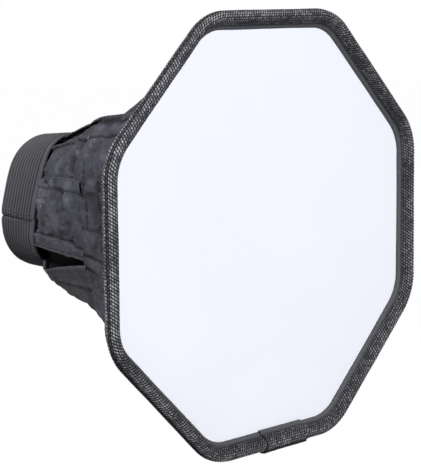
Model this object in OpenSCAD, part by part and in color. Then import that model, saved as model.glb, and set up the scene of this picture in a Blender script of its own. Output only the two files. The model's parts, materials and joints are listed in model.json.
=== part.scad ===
// Collapsible octagonal softbox for a hand-held flash.
// Front faces -Y, +Z is up, and the origin is the centre of the neck's rear opening.
// Everything is built lying down, with the light's axis along +Z, and stood up at the end.

/* [Rim] */
// Half the distance across flats of the diffuser that shows inside the binding
window_apothem = 85; // [70:1:130]
// Bend radius of the inner edge of the binding at each corner of the octagon
corner_r = 18; // [10:1:30]
// Diameter of the spring steel wire
wire_d = 2; // [1.5:0.5:3]
// Wall of the nylon sleeve that the wire runs in
sleeve_t = 0.5; // [0.4:0.1:0.8]
// Thickness of the binding tape
binding_t = 0.9; // [0.6:0.1:1.2]
// Distance from the binding's inner edge out to the middle of the wire
binding_leg = 5.1; // [4.8:0.1:8]
// How far the middle of the wire stands in front of the diffuser
wire_lead = 3.15; // [2.5:0.05:4]
// Width of the tape's rear edge, which lies on the skirt behind its row of stitches
tape_edge = 3.45; // [2:0.05:6]

/* [Cone] */
// Depth from the diffuser to the rear opening
cone_depth = 121; // [110:1:160]
// Depth of the front skirt, from the diffuser back to the seam
skirt_depth = 28; // [20:1:34]
// Draw of the skirt's wide sides towards the neck, 1 for straight lines from rim to neck
wide_draw = 1.28; // [0.8:0.01:1.4]
// Draw of the skirt's two narrow sides, which stand fuller
narrow_draw = 0.58; // [0.4:0.01:1]
// Thickness of the outer cloth
cloth_t = 1; // [0.6:0.1:1.2]
// Thickness of the silver lining
lining_t = 0.5; // [0.4:0.1:0.6]
// Outward swell of the narrow flaps between the seam and the neck
billow = 2; // [0:0.5:4]
// How far the loose bottom flap hangs out just in front of the strap
sag = 9; // [0:0.5:12]

/* [Neck] */
// Turn of the neck against the octagon, clockwise seen from the front
neck_turn = 15; // [0:1:20]
// Half width of the neck, to the outside of the cuffs
neck_half_w = 46.5; // [44:0.5:50]
// Half height of the neck, to the outside of the cuffs
neck_half_h = 28.4; // [26:0.2:32]
// Outward bow of the two narrow cuffs
cuff_bow = 1.5; // [1:0.1:2]
// Thickness of a cuff, with its stiffening board inside
cuff_t = 2.4; // [2:0.1:3]

/* [Strap] */
// Width of the elastic strap
strap_w = 25; // [20:1:30]
// Thickness of the elastic strap
strap_t = 2; // [1.5:0.1:2]
// Outer bend radius of the strap at the neck's corners
strap_r = 16; // [15:0.5:16]
// Height at which the strap's two hinge lines stand above the neck's middle
hinge_v = 12; // [11:0.1:13]

/* [Hidden] */
$fn = 96;

// Running gaps: between pieces of one body, and between two bodies
touch = 0.1;
gap = 0.3;

// Octagon: the bend axes of the corners stand on this apothem
bend_apothem = window_apothem - corner_r;
fold_r = wire_d / 2 + sleeve_t + 2 * touch + binding_t;
wire_u = corner_r + binding_leg;
wire_z = cone_depth + wire_lead;
diffuser_t = 0.6;

// The cone's skirt runs from just behind the diffuser to the seam
skirt_lap = 1.9;
skirt_apothem = window_apothem + skirt_lap;
skirt_front_z = cone_depth - diffuser_t / 2 - touch;
seam_z = cone_depth - skirt_depth;

// Flaps: angles are from the neck's own horizontal
side_flap_angle = 19.5;
top_flap_angle = 21;
side_flap_half = 22;
top_flap_half = 38.5;
side_cuff_half = 17;
top_cuff_half = 34;
hem_w = 5;
hem_rise = 0.4;
gusset_t = 0.5;
flap_rear_z = strap_w + 1.6;
lining_d = cloth_t + touch;
gusset_d = lining_d + lining_t + 0.6;

// Neck: the narrow cuffs are bowed to this radius about an axis beyond the middle
cuff_len = strap_w + 1.2;
bow_r = (pow(side_cuff_half, 2) + pow(cuff_bow, 2)) / (2 * cuff_bow);
bow_axis = neck_half_w - bow_r;

// Strap: its closed outline is tangent arcs round the four cuffs
strap_z = 1;
strap_gap = 0.4;
strap_bow_r = bow_r + strap_gap + strap_t;
strap_half_h = neck_half_h + strap_gap + strap_t;
strap_corner_v = strap_half_h - strap_r;
strap_corner_u = bow_axis + sqrt(pow(strap_bow_r - strap_r, 2) - pow(strap_corner_v, 2));
patch_t = 0.8;
patch_w = 20;
tail_in = 2 * patch_t + gap + 2 * touch;
tail_out = tail_in + strap_t;
tail_end_v = -17;
tab_end_v = -27;

cloth_black = [0.29, 0.29, 0.32];
tape_grey = [0.23, 0.23, 0.25];
silver = [0.78, 0.79, 0.8];

// ---- frames and curves ----

module stand() rotate([90, 0, 0]) children();

module turned() rotate([0, 0, -neck_turn]) children();

function turned_point(p) = [
    p.x * cos(neck_turn) + p.y * sin(neck_turn),
    -p.x * sin(neck_turn) + p.y * cos(neck_turn),
    p.z];

// Points of an arc in steps of at most 6 degrees; trim leaves out that many at each end
function arc(c, r, from, to, trim = 0) =
    let (n = ceil((to - from) / 6))
    [for (k = [trim : n - trim]) let (a = from + (to - from) * k / n)
        c + r * [cos(a), sin(a)]];

// Radius of an octagon with rounded corners in the direction a, level flats
function octagon_radius(a, apothem, r) =
    let (axis = (apothem - r) / cos(22.5),
         off = abs((a + 720) % 45 - 22.5),
         tangent = 22.5 - atan((apothem - r) * tan(22.5) / apothem))
    off < tangent
        ? axis * cos(off) + sqrt(pow(r, 2) - pow(axis * sin(off), 2))
        : apothem / cos(22.5 - off);

// Radius of the neck's soft-cornered outline in the neck's own direction a
function neck_radius(a) =
    pow(pow(abs(cos(a)) / neck_half_w, 4) + pow(abs(sin(a)) / neck_half_h, 4), -0.25);

// 0 below low, 1 above high and a soft step between
function smooth(low, high, x) =
    let (s = min(max((x - low) / (high - low), 0), 1)) s * s * (3 - 2 * s);

// How much faster than a straight cone the skirt draws in, in the neck's own direction a:
// the two narrow panels stand fuller and lean, and end in a quick step past their hems
function skirt_draw(a) =
    let (off = (a + 450) % 180 - 90, lean = 0.014)
    wide_draw + (narrow_draw + lean * off - wide_draw) * smooth(-29, -21, -abs(off));

// The skirt's outline at a share of its depth, in the level direction a, d below its face:
// it draws from the rim's octagon towards the neck
function skirt_point(a, share, d) =
    let (own = a + neck_turn,
         rim = octagon_radius(a, skirt_apothem, corner_r + skirt_lap),
         draw = skirt_draw(own),
         depth = skirt_depth / (cone_depth - flap_rear_z),
         radius = rim + (neck_radius(own) - rim) * depth * draw * share - d,
         z = skirt_front_z + (seam_z + gap / 2 - skirt_front_z) * share)
    [radius * cos(a), radius * sin(a), z];

// Half extents of a side of the neck: even sides are the narrow ones, left and right
function neck_out(side) = side % 2 == 0 ? neck_half_w : neck_half_h;
function cuff_half(side) = side % 2 == 0 ? side_cuff_half : top_cuff_half;
function flap_half(side) = side % 2 == 0 ? side_flap_half : top_flap_half;
function side_bow(side) = side % 2 == 0 ? cuff_bow : 0;
function front_half_angle(side) = side % 2 == 0 ? side_flap_angle : 90 - top_flap_angle;

// Outward swell of a flap: a half wave, hollow along the upper hem of a narrow flap, and on
// the bottom flap a rise all the way to the strap's front edge, where the strap pinches it
function swell(side, s, t) =
    side == 3 ? (0.4 * sag + sag * (1 - pow(s, 4))) * pow(t, 1.5) * (1 - pow(t, 40)) :
    side == 1 ? 0.5 * billow * (1 - pow(s, 2)) * sin(180 * t) :
    (billow * (1 - pow(s, 2)) - 1.8 * pow(max(-s, 0), 2)) * sin(180 * t);

// A point of a flap: s from -1 to 1 across it, t from 0 at the seam to 1 at the neck,
// d below its outer face. Side 0 is right, 1 top, 2 left and 3 bottom.
function flap_point(side, s, t, d) =
    let (a = 90 * side + s * front_half_angle(side) - neck_turn,
         front = skirt_point(a, 1, d) - [0, 0, gap],
         out = neck_out(side) - d - side_bow(side) * pow(s, 2),
         along = s * flap_half(side),
         q = 90 * side,
         rear = turned_point([out * cos(q) - along * sin(q),
             out * sin(q) + along * cos(q), flap_rear_z]),
         away = turned_point([cos(q), sin(q), 0]))
    front * (1 - t) + rear * t + away * swell(side, s, t);

// ---- solids from grids ----

// A closed skin between two grids of points; wrap joins the two ends of each row
module skin(outer, inner, wrap = false) {
    rows = len(outer);
    cols = len(outer[0]);
    last = wrap ? cols : cols - 1;
    function o(i, j) = i * cols + j % cols;
    function n(i, j) = rows * cols + o(i, j);
    function quad(a, b, c, d) = [[a, b, c], [a, c, d]];
    polyhedron(
        points = concat([for (row = outer) each row], [for (row = inner) each row]),
        faces = concat(
            [for (i = [0 : rows - 2], j = [0 : last - 1])
                each quad(o(i, j), o(i, j + 1), o(i + 1, j + 1), o(i + 1, j))],
            [for (i = [0 : rows - 2], j = [0 : last - 1])
                each quad(n(i, j), n(i + 1, j), n(i + 1, j + 1), n(i, j + 1))],
            [for (j = [0 : last - 1]) each quad(o(0, j), n(0, j), n(0, j + 1), o(0, j + 1))],
            [for (j = [0 : last - 1]) each quad(o(rows - 1, j), o(rows - 1, j + 1),
                n(rows - 1, j + 1), n(rows - 1, j))],
            wrap ? [] : [for (i = [0 : rows - 2])
                each quad(o(i, 0), o(i + 1, 0), n(i + 1, 0), n(i, 0))],
            wrap ? [] : [for (i = [0 : rows - 2])
                each quad(o(i, last), n(i, last), n(i + 1, last), o(i + 1, last))]),
        convexity = 6);
}

// Points of an arc about the wire's centre, in the rim's section: x is out from the bend
// axes of the octagon's corners and y is up the light's axis
function wire_arc(r, a0, a1, n) = [for (k = [0 : n])
    let (a = a0 + (a1 - a0) * k / n)
    [wire_u + r * cos(a), wire_z + r * sin(a)]];

// Carries a closed section round the octagon: straight sides with a bend at each corner
module octagon_ring(section) {
    half = bend_apothem * tan(22.5);
    bend = [0 : 11.25 : 45];
    stations = [for (i = [0 : 7], a = bend) [45 * i, a]];
    function placed(st, p) = let (
            x = bend_apothem + p.x * cos(st.y),
            y = half + p.x * sin(st.y))
        [x * cos(st.x) - y * sin(st.x), x * sin(st.x) + y * cos(st.x), p.y];
    rows = len(stations);
    cols = len(section);
    function at(i, j) = (i % rows) * cols + j % cols;
    polyhedron(
        points = [for (st = stations, p = section) placed(st, p)],
        faces = [for (i = [0 : rows - 1], j = [0 : cols - 1])
            each [[at(i, j), at(i + 1, j), at(i + 1, j + 1)],
                  [at(i, j), at(i + 1, j + 1), at(i, j + 1)]]],
        convexity = 6);
}

// ---- rim ----

module rim_wire() color("silver") stand()
    octagon_ring([for (k = [0 : 9]) [wire_u, wire_z] + wire_d / 2 * [cos(36 * k), -sin(36 * k)]]);

// Cloth folded round the wire, open towards the seam
module wire_sleeve() color("dimgray") stand() {
    inner = wire_d / 2 + touch;
    octagon_ring(concat(wire_arc(inner + sleeve_t, 150, -150, 9),
        wire_arc(inner, -150, 150, 9)));
}

// Direction from the wire's centre to where a line from the point p touches a circle of
// radius r round it; turn is -1 for the front leg of the tape and 1 for the rear leg
function foot_angle(p, r, turn) =
    let (v = p - [wire_u, wire_z])
    atan2(v.y, v.x) + 360 + turn * acos(r / norm(v));

// Tape of thickness t whose outer face lies d outside the binding's: a front leg that slopes
// back to the diffuser, the round fold, a rear leg to the stitched crease and the free rear
// edge, which lies on the skirt
function tape_section(d, t) = let (
        front = [corner_r, cone_depth + 0.9],
        crease = [corner_r + skirt_lap + 2 * touch + binding_t, cone_depth - 0.25],
        a = foot_angle(front, fold_r, -1),
        b = foot_angle(crease, fold_r, 1) - 360,
        across_front = [cos(a), sin(a)],
        across_crease = [1, (1 - cos(b)) / sin(b)],
        edge = crease - [0, tape_edge])
    concat([front + d * across_front], wire_arc(fold_r + d, a, b, 8),
        [crease + d * across_crease, edge + [d, 0],
         edge + [d - t, 0], crease + (d - t) * across_crease],
        wire_arc(fold_r + d - t, b, a, 8), [front + (d - t) * across_front]);

module rim_binding() color(tape_grey) stand()
    octagon_ring(tape_section(0, binding_t));

// The binding's end is lapped over its start on the bottom side of the rim
module binding_end() color(tape_grey) stand() {
    lap = 26;
    layer = 0.7;
    lap_x = 5.3;
    translate([lap_x, -bend_apothem, 0]) rotate([0, 0, -90]) rotate([90, 0, 0])
        linear_extrude(height = lap, center = true)
            polygon(tape_section(touch + layer, layer));
}

module diffuser() color("white") stand() {
    hem = 1.8;
    apothem = window_apothem + hem;
    r = corner_r + hem;
    half = (apothem - r) * tan(22.5);
    translate([0, 0, cone_depth - diffuser_t / 2])
        linear_extrude(height = diffuser_t) polygon([for (i = [0 : 7])
            let (c = [(apothem - r) * cos(45 * i) - half * sin(45 * i),
                (apothem - r) * sin(45 * i) + half * cos(45 * i)])
            each arc(c, r, 45 * i, 45 * i + 45)]);
}

// ---- skirt ----

// Directions round the skirt: close together at the octagon's corners
function skirt_ring(share, d) = [
    for (i = [0 : 7], off = [-21.5, -17.5, -13, -9, -6, -2, 2, 6, 9, 13, 18])
        skirt_point(45 * i + 22.5 + off, share, d)];

module skirt_layer(d, t) stand() skin(
    [for (share = [0 : 0.25 : 1]) skirt_ring(share, d)],
    [for (share = [0 : 0.25 : 1]) skirt_ring(share, d + t)], wrap = true);

module front_skirt() color(cloth_black) skirt_layer(0, cloth_t);

module skirt_lining() color(silver) skirt_layer(lining_d, lining_t);

// ---- flaps ----

// Rows from the seam to the neck, the last two close together at the strap's front edge
flap_rows = [0, 1 / 6, 1 / 3, 1 / 2, 2 / 3, 5 / 6, 0.95, 1];

// Places across a flap, between its hems, that every layer of it shares
function across_flap(side) =
    let (edge = 1 - (hem_w + 0.6) / flap_half(side), n = side % 2 == 0 ? 10 : 16)
    [for (k = [0 : n]) edge * (2 * k / n - 1)];

// A layer of a flap from depth d, t thick; with rise it reaches the edges in raised hems
module flap_layer(side, across, d, t, rise = 0) {
    hem = 1 - hem_w / flap_half(side);
    places = rise > 0 ? concat([-1, -hem], across, [hem, 1]) : across;
    stand() skin(
        [for (v = flap_rows) [for (s = places)
            flap_point(side, s, v, d - (abs(s) > hem - 0.001 ? rise : 0))]],
        [for (v = flap_rows) [for (s = places) flap_point(side, s, v, d + t)]]);
}

module flap(side) color(cloth_black)
    flap_layer(side, across_flap(side), 0, cloth_t, hem_rise);
module flap_right() flap(0);
module flap_top() flap(1);
module flap_left() flap(2);
module flap_bottom() flap(3);

module lining(side) color(silver)
    flap_layer(side, across_flap(side), lining_d, lining_t);
module lining_right() lining(0);
module lining_top() lining(1);
module lining_left() lining(2);
module lining_bottom() lining(3);

// Black web that closes the slit between flap side and the next one round, folded inwards
module gusset(side) {
    next = (side + 1) % 4;
    fold = 2.5;
    function web(v, d) = let (
            from = flap_point(side, 0.94, v, d),
            to = flap_point(next, -0.94, v, d),
            inward = turned_point([-cos(90 * side + 45), -sin(90 * side + 45), 0]))
        [from, (from + to) / 2 + inward * fold, to];
    color("black") stand() skin([for (v = flap_rows) web(v, gusset_d)],
        [for (v = flap_rows) web(v, gusset_d + gusset_t)]);
}
module gusset_top_right() gusset(0);
module gusset_top_left() gusset(1);
module gusset_bottom_left() gusset(2);
module gusset_bottom_right() gusset(3);

// Felled seam down the middle of a narrow flap
module seam_tape(side, from, to) color(tape_grey)
    flap_layer(side, [for (k = [from : to]) across_flap(side)[k]], -0.6, 0.5);
module seam_tape_right() seam_tape(0, 5, 7);
module seam_tape_left() seam_tape(2, 3, 5);

// ---- neck ----

// Section of a cuff, or of its pocket when shrunk by m all round
module cuff_section(side, m) {
    half = cuff_half(side) - m * 2;
    if (side % 2 == 0)
        intersection() {
            translate([bow_axis, 0]) difference() {
                circle(r = bow_r - m, $fn = 360);
                circle(r = bow_r - cuff_t + m, $fn = 360);
            }
            translate([0, -half]) square([100, 2 * half]);
        }
    else
        translate([neck_half_h - cuff_t + m, -half]) square([cuff_t - 2 * m, 2 * half]);
}

board_m = 0.7;

module cuff(side) color(cloth_black) stand() turned() rotate([0, 0, 90 * side])
    difference() {
        linear_extrude(height = cuff_len) cuff_section(side, 0);
        translate([0, 0, 2 * board_m]) linear_extrude(height = cuff_len)
            cuff_section(side, board_m);
    }
module cuff_right() cuff(0);
module cuff_top() cuff(1);
module cuff_left() cuff(2);
module cuff_bottom() cuff(3);

module board(side) color("tan") stand() turned() rotate([0, 0, 90 * side])
    translate([0, 0, 2 * board_m + touch])
        linear_extrude(height = cuff_len - 2 * board_m - 2 * touch)
            cuff_section(side, board_m + touch / 2);
module board_right() board(0);
module board_top() board(1);
module board_left() board(2);
module board_bottom() board(3);

// ---- strap ----

// The strap's closed outline, grown by d on the right and by e on the left: a bow on each
// side, an arc round each corner and straight runs that climb from the one to the other
function strap_points(d, e) =
    let (lean = asin(strap_corner_v / (strap_bow_r - strap_r)),
         climb = asin((d - e) / (2 * strap_corner_u)),
         right = [strap_corner_u, strap_corner_v],
         left = [-strap_corner_u, strap_corner_v])
    concat(
        arc([bow_axis, 0], strap_bow_r + d, -lean, lean, 1),
        arc(right, strap_r + d, lean, 90 + climb),
        arc(left, strap_r + e, 90 + climb, 180 - lean),
        arc([-bow_axis, 0], strap_bow_r + e, 180 - lean, 180 + lean, 1),
        arc(-right, strap_r + e, 180 + lean, 270 - climb),
        arc(-left, strap_r + d, 270 - climb, 360 - lean));

// The layer of the strap from d_in to d_out outside its own outer face
module strap_layer(d_in, d_out, w = strap_w) stand() turned()
    translate([0, 0, strap_z + (strap_w - w) / 2]) linear_extrude(height = w)
        intersection() {
            difference() {
                polygon(strap_points(d_out, d_out));
                polygon(strap_points(d_in, d_in));
            }
            children();
        }

// A window on the right side of the neck, from v0 up to v1
module right_window(v0, v1) translate([strap_corner_u, v0]) square([60, v1 - v0]);

module strap_base() color("dimgray") strap_layer(-strap_t, 0) {
    translate([-80, -80]) square([80, 80 + hinge_v - gap / 2]);
    translate([-1, -80]) square([81, 80 + 10]);
}

module loop_patch() color("black") strap_layer(touch, touch + patch_t, patch_w)
    right_window(-17, 9.5);

// Goes over the top-left corner, climbs the width of the patches and bends down at the right
module strap_top_run() color("dimgray") stand() turned() translate([0, 0, strap_z])
    linear_extrude(height = strap_w) intersection() {
        difference() {
            polygon(strap_points(tail_out, 0));
            polygon(strap_points(tail_in, -strap_t));
        }
        translate([-80, hinge_v + gap / 2]) square([160, 80]);
    }

module strap_tail() color("dimgray") strap_layer(tail_in, tail_out)
    right_window(tail_end_v, hinge_v - gap / 2);

module hook_patch() color("black")
    strap_layer(tail_in - touch - patch_t, tail_in - touch, patch_w) right_window(-15, 9);

// Folded grip that closes over the end of the tail
module pull_tab() color(tape_grey) {
    wall = 0.8;
    strap_layer(tail_out + touch, tail_out + touch + wall, strap_w) right_window(tab_end_v, -11);
    strap_layer(tail_in, tail_out + touch, strap_w) right_window(tab_end_v, tail_end_v - touch);
}

// ---- the nodes ----

rim_wire();
wire_sleeve();
rim_binding();
binding_end();
diffuser();
front_skirt();
skirt_lining();
flap_right();
flap_top();
flap_left();
flap_bottom();
lining_right();
lining_top();
lining_left();
lining_bottom();
gusset_top_right();
gusset_top_left();
gusset_bottom_left();
gusset_bottom_right();
seam_tape_right();
seam_tape_left();
cuff_right();
cuff_top();
cuff_left();
cuff_bottom();
board_right();
board_top();
board_left();
board_bottom();
strap_base();
loop_patch();
strap_top_run();
strap_tail();
hook_patch();
pull_tab();
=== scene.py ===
"""Dresses the octagonal flash softbox: woven rim, white face, black cloth cone, silver lining,
ribbed strap and their stitches, in a plain pale studio.

Shapes are worked out in the part's building frame in millimetres: x to the right, y up and z
forward along the light's axis from the rear opening. placed() turns them into the row frame.
"""

import json
import math

import bpy
import numpy as np
from mathutils import Matrix, Vector


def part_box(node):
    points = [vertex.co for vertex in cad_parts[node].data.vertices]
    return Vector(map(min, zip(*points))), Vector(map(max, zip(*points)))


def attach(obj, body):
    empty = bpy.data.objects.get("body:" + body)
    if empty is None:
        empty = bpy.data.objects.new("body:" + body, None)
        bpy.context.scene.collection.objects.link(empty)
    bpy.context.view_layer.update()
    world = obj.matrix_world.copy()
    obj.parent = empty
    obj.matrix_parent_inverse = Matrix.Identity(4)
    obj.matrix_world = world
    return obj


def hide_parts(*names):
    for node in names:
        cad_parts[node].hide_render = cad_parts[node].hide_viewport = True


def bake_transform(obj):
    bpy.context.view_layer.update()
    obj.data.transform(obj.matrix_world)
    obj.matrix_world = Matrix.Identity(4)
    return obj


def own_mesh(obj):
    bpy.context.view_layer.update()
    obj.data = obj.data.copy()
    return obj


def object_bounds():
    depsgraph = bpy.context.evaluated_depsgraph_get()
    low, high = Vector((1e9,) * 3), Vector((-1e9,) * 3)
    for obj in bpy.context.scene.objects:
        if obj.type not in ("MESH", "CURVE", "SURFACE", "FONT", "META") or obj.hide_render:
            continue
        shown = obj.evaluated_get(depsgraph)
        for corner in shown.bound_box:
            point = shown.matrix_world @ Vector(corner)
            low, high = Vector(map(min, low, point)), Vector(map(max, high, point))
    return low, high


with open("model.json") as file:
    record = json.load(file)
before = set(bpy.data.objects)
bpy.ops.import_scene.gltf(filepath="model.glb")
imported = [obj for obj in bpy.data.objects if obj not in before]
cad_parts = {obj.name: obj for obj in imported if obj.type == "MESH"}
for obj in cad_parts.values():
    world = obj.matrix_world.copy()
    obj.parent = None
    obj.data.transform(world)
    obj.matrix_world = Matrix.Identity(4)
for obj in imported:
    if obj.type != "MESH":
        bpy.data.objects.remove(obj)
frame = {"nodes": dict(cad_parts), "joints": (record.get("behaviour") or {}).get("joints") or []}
CAD_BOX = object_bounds()

bl_info = {
    "name": "Octagonal flash softbox",
    "version": (1, 0, 0),
    "blender": (4, 5, 0),
    "location": "3D Viewport > Sidebar > Softbox",
    "description": "Builds the cloth, tape, webbing and stitches of a small collapsible softbox",
    "category": "Add Mesh",
}

SIDES = ("right", "top", "left", "bottom")
CORNERS = ("top_right", "top_left", "bottom_left", "bottom_right")


# ---- fixed sizes, in millimetres ----

WIRE_OUT, WIRE_UP = 5.1, 3.15       # the wire's axis, from the face's bends and from the face
FOLD_R = 2.6                        # outer radius of the tape round the wire
SKIRT_OUT, SKIRT_BACK = 1.9, 0.4    # the skirt's front edge, out and back from the face's
FLAP_START = 1.6                    # the flaps' rear ends, in front of the strap
BOW_HALF, BOW_RISE = 17, 1.5        # half the chord and the rise of a narrow cuff's bow
STRAP_OVER = 2.4                    # the strap's outer face over the cuffs
STRAP_BEND = 16                     # bend radius of the strap at its front edge
STRAP_T = 2.0                       # thickness of the strap
REAR_ROUNDER, REAR_TIGHTER = 6.5, 0.8   # what the strap's rear edge has more and less
HINGE_V = 12.0                      # height of the line about which the top run lifts
TAIL_IN = 2.1                       # the tail's inner face over the lower strap's outer one
LAP_LENGTH = 22.6                   # how much of the lower strap lies under the top run
TAPE_GROOVE = 10.9                  # place of the outer seam across the rim tape
FLOAT_ROW = 1.05                    # width of one row of floats across the rim tape
TAPE_T = 0.7                        # thickness of the rim tape
LAP_BEHIND, LAP_AHEAD = 7.7, 18.3   # the lapped end, each way from the bottom side's middle
CLOTH_T, LINING_T = 0.8, 0.4        # thickness of the outer cloth and of the lining and webs
LINING_IN = 1.5                     # the lining's outer face below the cloth's


# ---- sizes and colours that a user would change ----

def length(name, description, mm):
    """A length property whose default is given in millimetres."""
    return bpy.props.FloatProperty(
        name=name, description=description, default=mm / 1000, min=0, unit="LENGTH")


def colour(name, description, red, green, blue):
    """A colour property whose default is given as 8-bit display values."""
    return bpy.props.FloatVectorProperty(
        name=name, description=description, size=4, min=0, max=1, subtype="COLOR",
        default=(linear(red), linear(green), linear(blue), 1))


def linear(level):
    """Scene-linear value of an 8-bit display level."""
    share = level / 255
    return share / 12.92 if share < 0.04045 else ((share + 0.055) / 1.055) ** 2.4


DIFFUSER_DEPTH = -1000 * (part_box("diffuser")[0].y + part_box("diffuser")[1].y) / 2
STRAP_WIDTH = 1000 * (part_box("strap_base")[1].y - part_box("strap_base")[0].y)


class SoftboxSizes(bpy.types.PropertyGroup):
    """Driving sizes of the softbox, the same as its solids have"""
    window: length("Window", "Half the distance across the flats of the white face", 85)
    corner: length("Corner", "Bend radius of the tape's inner edge", 18)
    depth: length("Depth", "From the rear opening to the white face", DIFFUSER_DEPTH)
    skirt: length("Skirt", "Depth of the front skirt", 28)
    neck_width: length("Neck half width", "Half the neck's width outside", 46.5)
    neck_height: length("Neck half height", "Half the neck's height outside", 28.4)
    strap: length("Strap", "Width of the ribbed strap", STRAP_WIDTH)
    weave: length("Weave", "Spacing of the floats along the rim tape", 1.35)
    rib: length("Rib", "Spacing of the strap's ribs", 1.95)
    stitch: length("Stitch", "Length of one stitch", 2.6)
    turn: bpy.props.FloatProperty(
        name="Turn", description="Turn of the neck against the octagon",
        default=math.radians(15), subtype="ANGLE", unit="ROTATION")


class SoftboxColours(bpy.types.PropertyGroup):
    """Colours of the softbox's cloths"""
    cloth: colour("Cloth", "Coated nylon of the cone", 57, 57, 65)
    tape: colour("Tape", "Ground of the rim tape", 30, 30, 34)
    tape_float: colour("Tape floats", "Raised threads of the rim tape", 148, 148, 154)
    strap: colour("Strap", "Ribbed elastic", 69, 69, 73)
    thread: colour("Thread", "Sewing thread", 54, 54, 60)
    face: colour("Face", "White diffusing cloth", 243, 246, 254)
    silver: colour("Silver", "Metallised lining", 196, 198, 202)
    # Near black: the knit's colour with the shade of the deep slits painted in.
    gusset: colour("Gusset", "Knit in the slits", 8, 8, 9)
    patch: colour("Patch", "Hook and loop patches", 30, 30, 32)
    floor: colour("Floor", "Studio floor", 128, 128, 130)


class Millimetres:
    """The sizes above in millimetres, with those that follow from them."""

    def __init__(self):
        wanted = bpy.context.scene.softbox_sizes
        for name in SoftboxSizes.__annotations__:
            setattr(self, name, getattr(wanted, name) * 1000)
        self.turn = math.degrees(wanted.turn)
        self.bend = self.window - self.corner       # where the bends' axes stand
        self.wire_u = self.corner + WIRE_OUT
        self.wire_z = self.depth + WIRE_UP
        self.skirt_apothem = self.window + SKIRT_OUT
        self.skirt_front = self.depth - SKIRT_BACK
        self.seam = self.depth - self.skirt
        self.flap_rear = self.strap + FLAP_START
        self.bow_r = (BOW_HALF ** 2 + BOW_RISE ** 2) / (2 * BOW_RISE)
        self.bow_axis = self.neck_width - self.bow_r
        self.strap_bow_r = self.bow_r + STRAP_OVER


def sizes():
    """The sizes in force."""
    return Millimetres()


def colours(name):
    """One of the colours in force, as red, green, blue and 1."""
    return tuple(getattr(bpy.context.scene.softbox_colours, name))


# ---- small maths ----

def cosd(angle):
    """Cosine of an angle in degrees."""
    return np.cos(np.radians(angle))


def sind(angle):
    """Sine of an angle in degrees."""
    return np.sin(np.radians(angle))


def smooth(low, high, x):
    """0 below low, 1 above high and 3s^2 - 2s^3 between, where s is the share of the way."""
    share = np.clip((x - low) / (high - low), 0, 1)
    return share * share * (3 - 2 * share)


def hump(x, centre, width):
    """Bell curve: e to the power of minus the square of the distance over the width."""
    return np.exp(-((x - centre) / width) ** 2)


def crease(u, v, start, end, width, height):
    """A ridge from start to end: a bell across the line that dies away past its two ends."""
    run = np.subtract(end, start)
    span = np.hypot(*run)
    along = ((u - start[0]) * run[0] + (v - start[1]) * run[1]) / span
    across = ((v - start[1]) * run[0] - (u - start[0]) * run[1]) / span
    past = np.maximum(np.maximum(-along, along - span), 0)
    return height * np.exp(-(across / width) ** 2 - (past / (1.5 * width)) ** 2)


def crumple(u, v, pitch, seed, waves=9):
    """Uneven cloth between -1 and 1: a sum of sine waves in all directions, each bent by the
    one before it, whose lengths run from pitch down to a third of it."""
    rng = np.random.RandomState(seed)
    total, bend, weight = 0, 0, 0
    for k in range(waves):
        way = rng.uniform(0, math.pi)
        wave = pitch / (1 + 2 * k / waves)
        phase = (u * math.cos(way) + v * math.sin(way)) * 2 * math.pi / wave
        bend = np.sin(phase + rng.uniform(0, 2 * math.pi) + 1.1 * bend)
        total = total + bend / (1 + k / 3)
        weight += 1 / (1 + k / 3)
    return total / weight * 1.6


# ---- meshes from grids ----

def placed(points):
    """Points of the building frame, in millimetres, as points of the row frame in metres."""
    points = np.asarray(points, float)
    return np.stack([points[..., 0], -points[..., 2], points[..., 1]], -1) / 1000


def turned(u, v, z):
    """Points given in the neck's own directions, in the building frame."""
    t = sizes().turn
    return np.stack([u * cosd(t) + v * sind(t), -u * sind(t) + v * cosd(t), z + 0 * u], -1)


def on_side(side, out, aside, z):
    """Points of one of the neck's four sides: out from its axis, aside along it and z up."""
    q = 90 * side
    return turned(out * cosd(q) - aside * sind(q), out * sind(q) + aside * cosd(q), z)


def outwards(angle):
    """Unit vector away from the axis at an angle in the neck's own directions."""
    return turned(np.array(cosd(angle)), np.array(sind(angle)), np.array(0.0))


def normals(grid, wrap=False):
    """Unit normals of a grid of points: the cross product of its two differences. They point
    to the side from which rows run up and columns run to the right."""
    down = np.gradient(grid, axis=0)
    if wrap:
        across = (np.roll(grid, -1, 1) - np.roll(grid, 1, 1)) / 2
    else:
        across = np.gradient(grid, axis=1)
    normal = np.cross(across, down)
    return normal / np.maximum(np.linalg.norm(normal, axis=-1, keepdims=True), 1e-9)


def quads(rows, cols, wrap_rows=False, wrap_cols=False):
    """Corner numbers of the quads of a grid, closed round either way if it wraps."""
    i = np.arange(rows if wrap_rows else rows - 1)[:, None]
    j = np.arange(cols if wrap_cols else cols - 1)[None, :]
    i2, j2 = (i + 1) % rows, (j + 1) % cols
    faces = np.stack(np.broadcast_arrays(
        i * cols + j, i * cols + j2, i2 * cols + j2, i2 * cols + j), -1)
    return faces.reshape(-1, 4)


def new_piece(name, points, faces, finish, uv=None, height=None):
    """A smooth-shaded mesh object. uv gives each point its place on the flat cloth in
    millimetres, and height a value for each point, stored as 'rise', that the material turns
    into painted light and shade."""
    mesh = bpy.data.meshes.new(name)
    points = placed(points).reshape(-1, 3)
    mesh.from_pydata(points.tolist(), [], faces if isinstance(faces, list) else faces.tolist())
    if uv is not None:
        corner = np.zeros(len(mesh.loops), np.int32)
        mesh.loops.foreach_get("vertex_index", corner)
        layer = mesh.uv_layers.new(name="cloth")
        layer.data.foreach_set("uv", np.asarray(uv, float).reshape(-1, 2)[corner].ravel())
    if height is not None:
        rise = mesh.attributes.new("rise", "FLOAT", "POINT")
        rise.data.foreach_set("value", np.asarray(height, float).ravel())
    mesh.shade_smooth()
    mesh.materials.append(material(finish))
    return linked(name, mesh)


def linked(name, data):
    """An object for a mesh, lamp or camera, put in the scene."""
    made = bpy.data.objects.new(name, data)
    bpy.context.scene.collection.objects.link(made)
    return made


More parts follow.
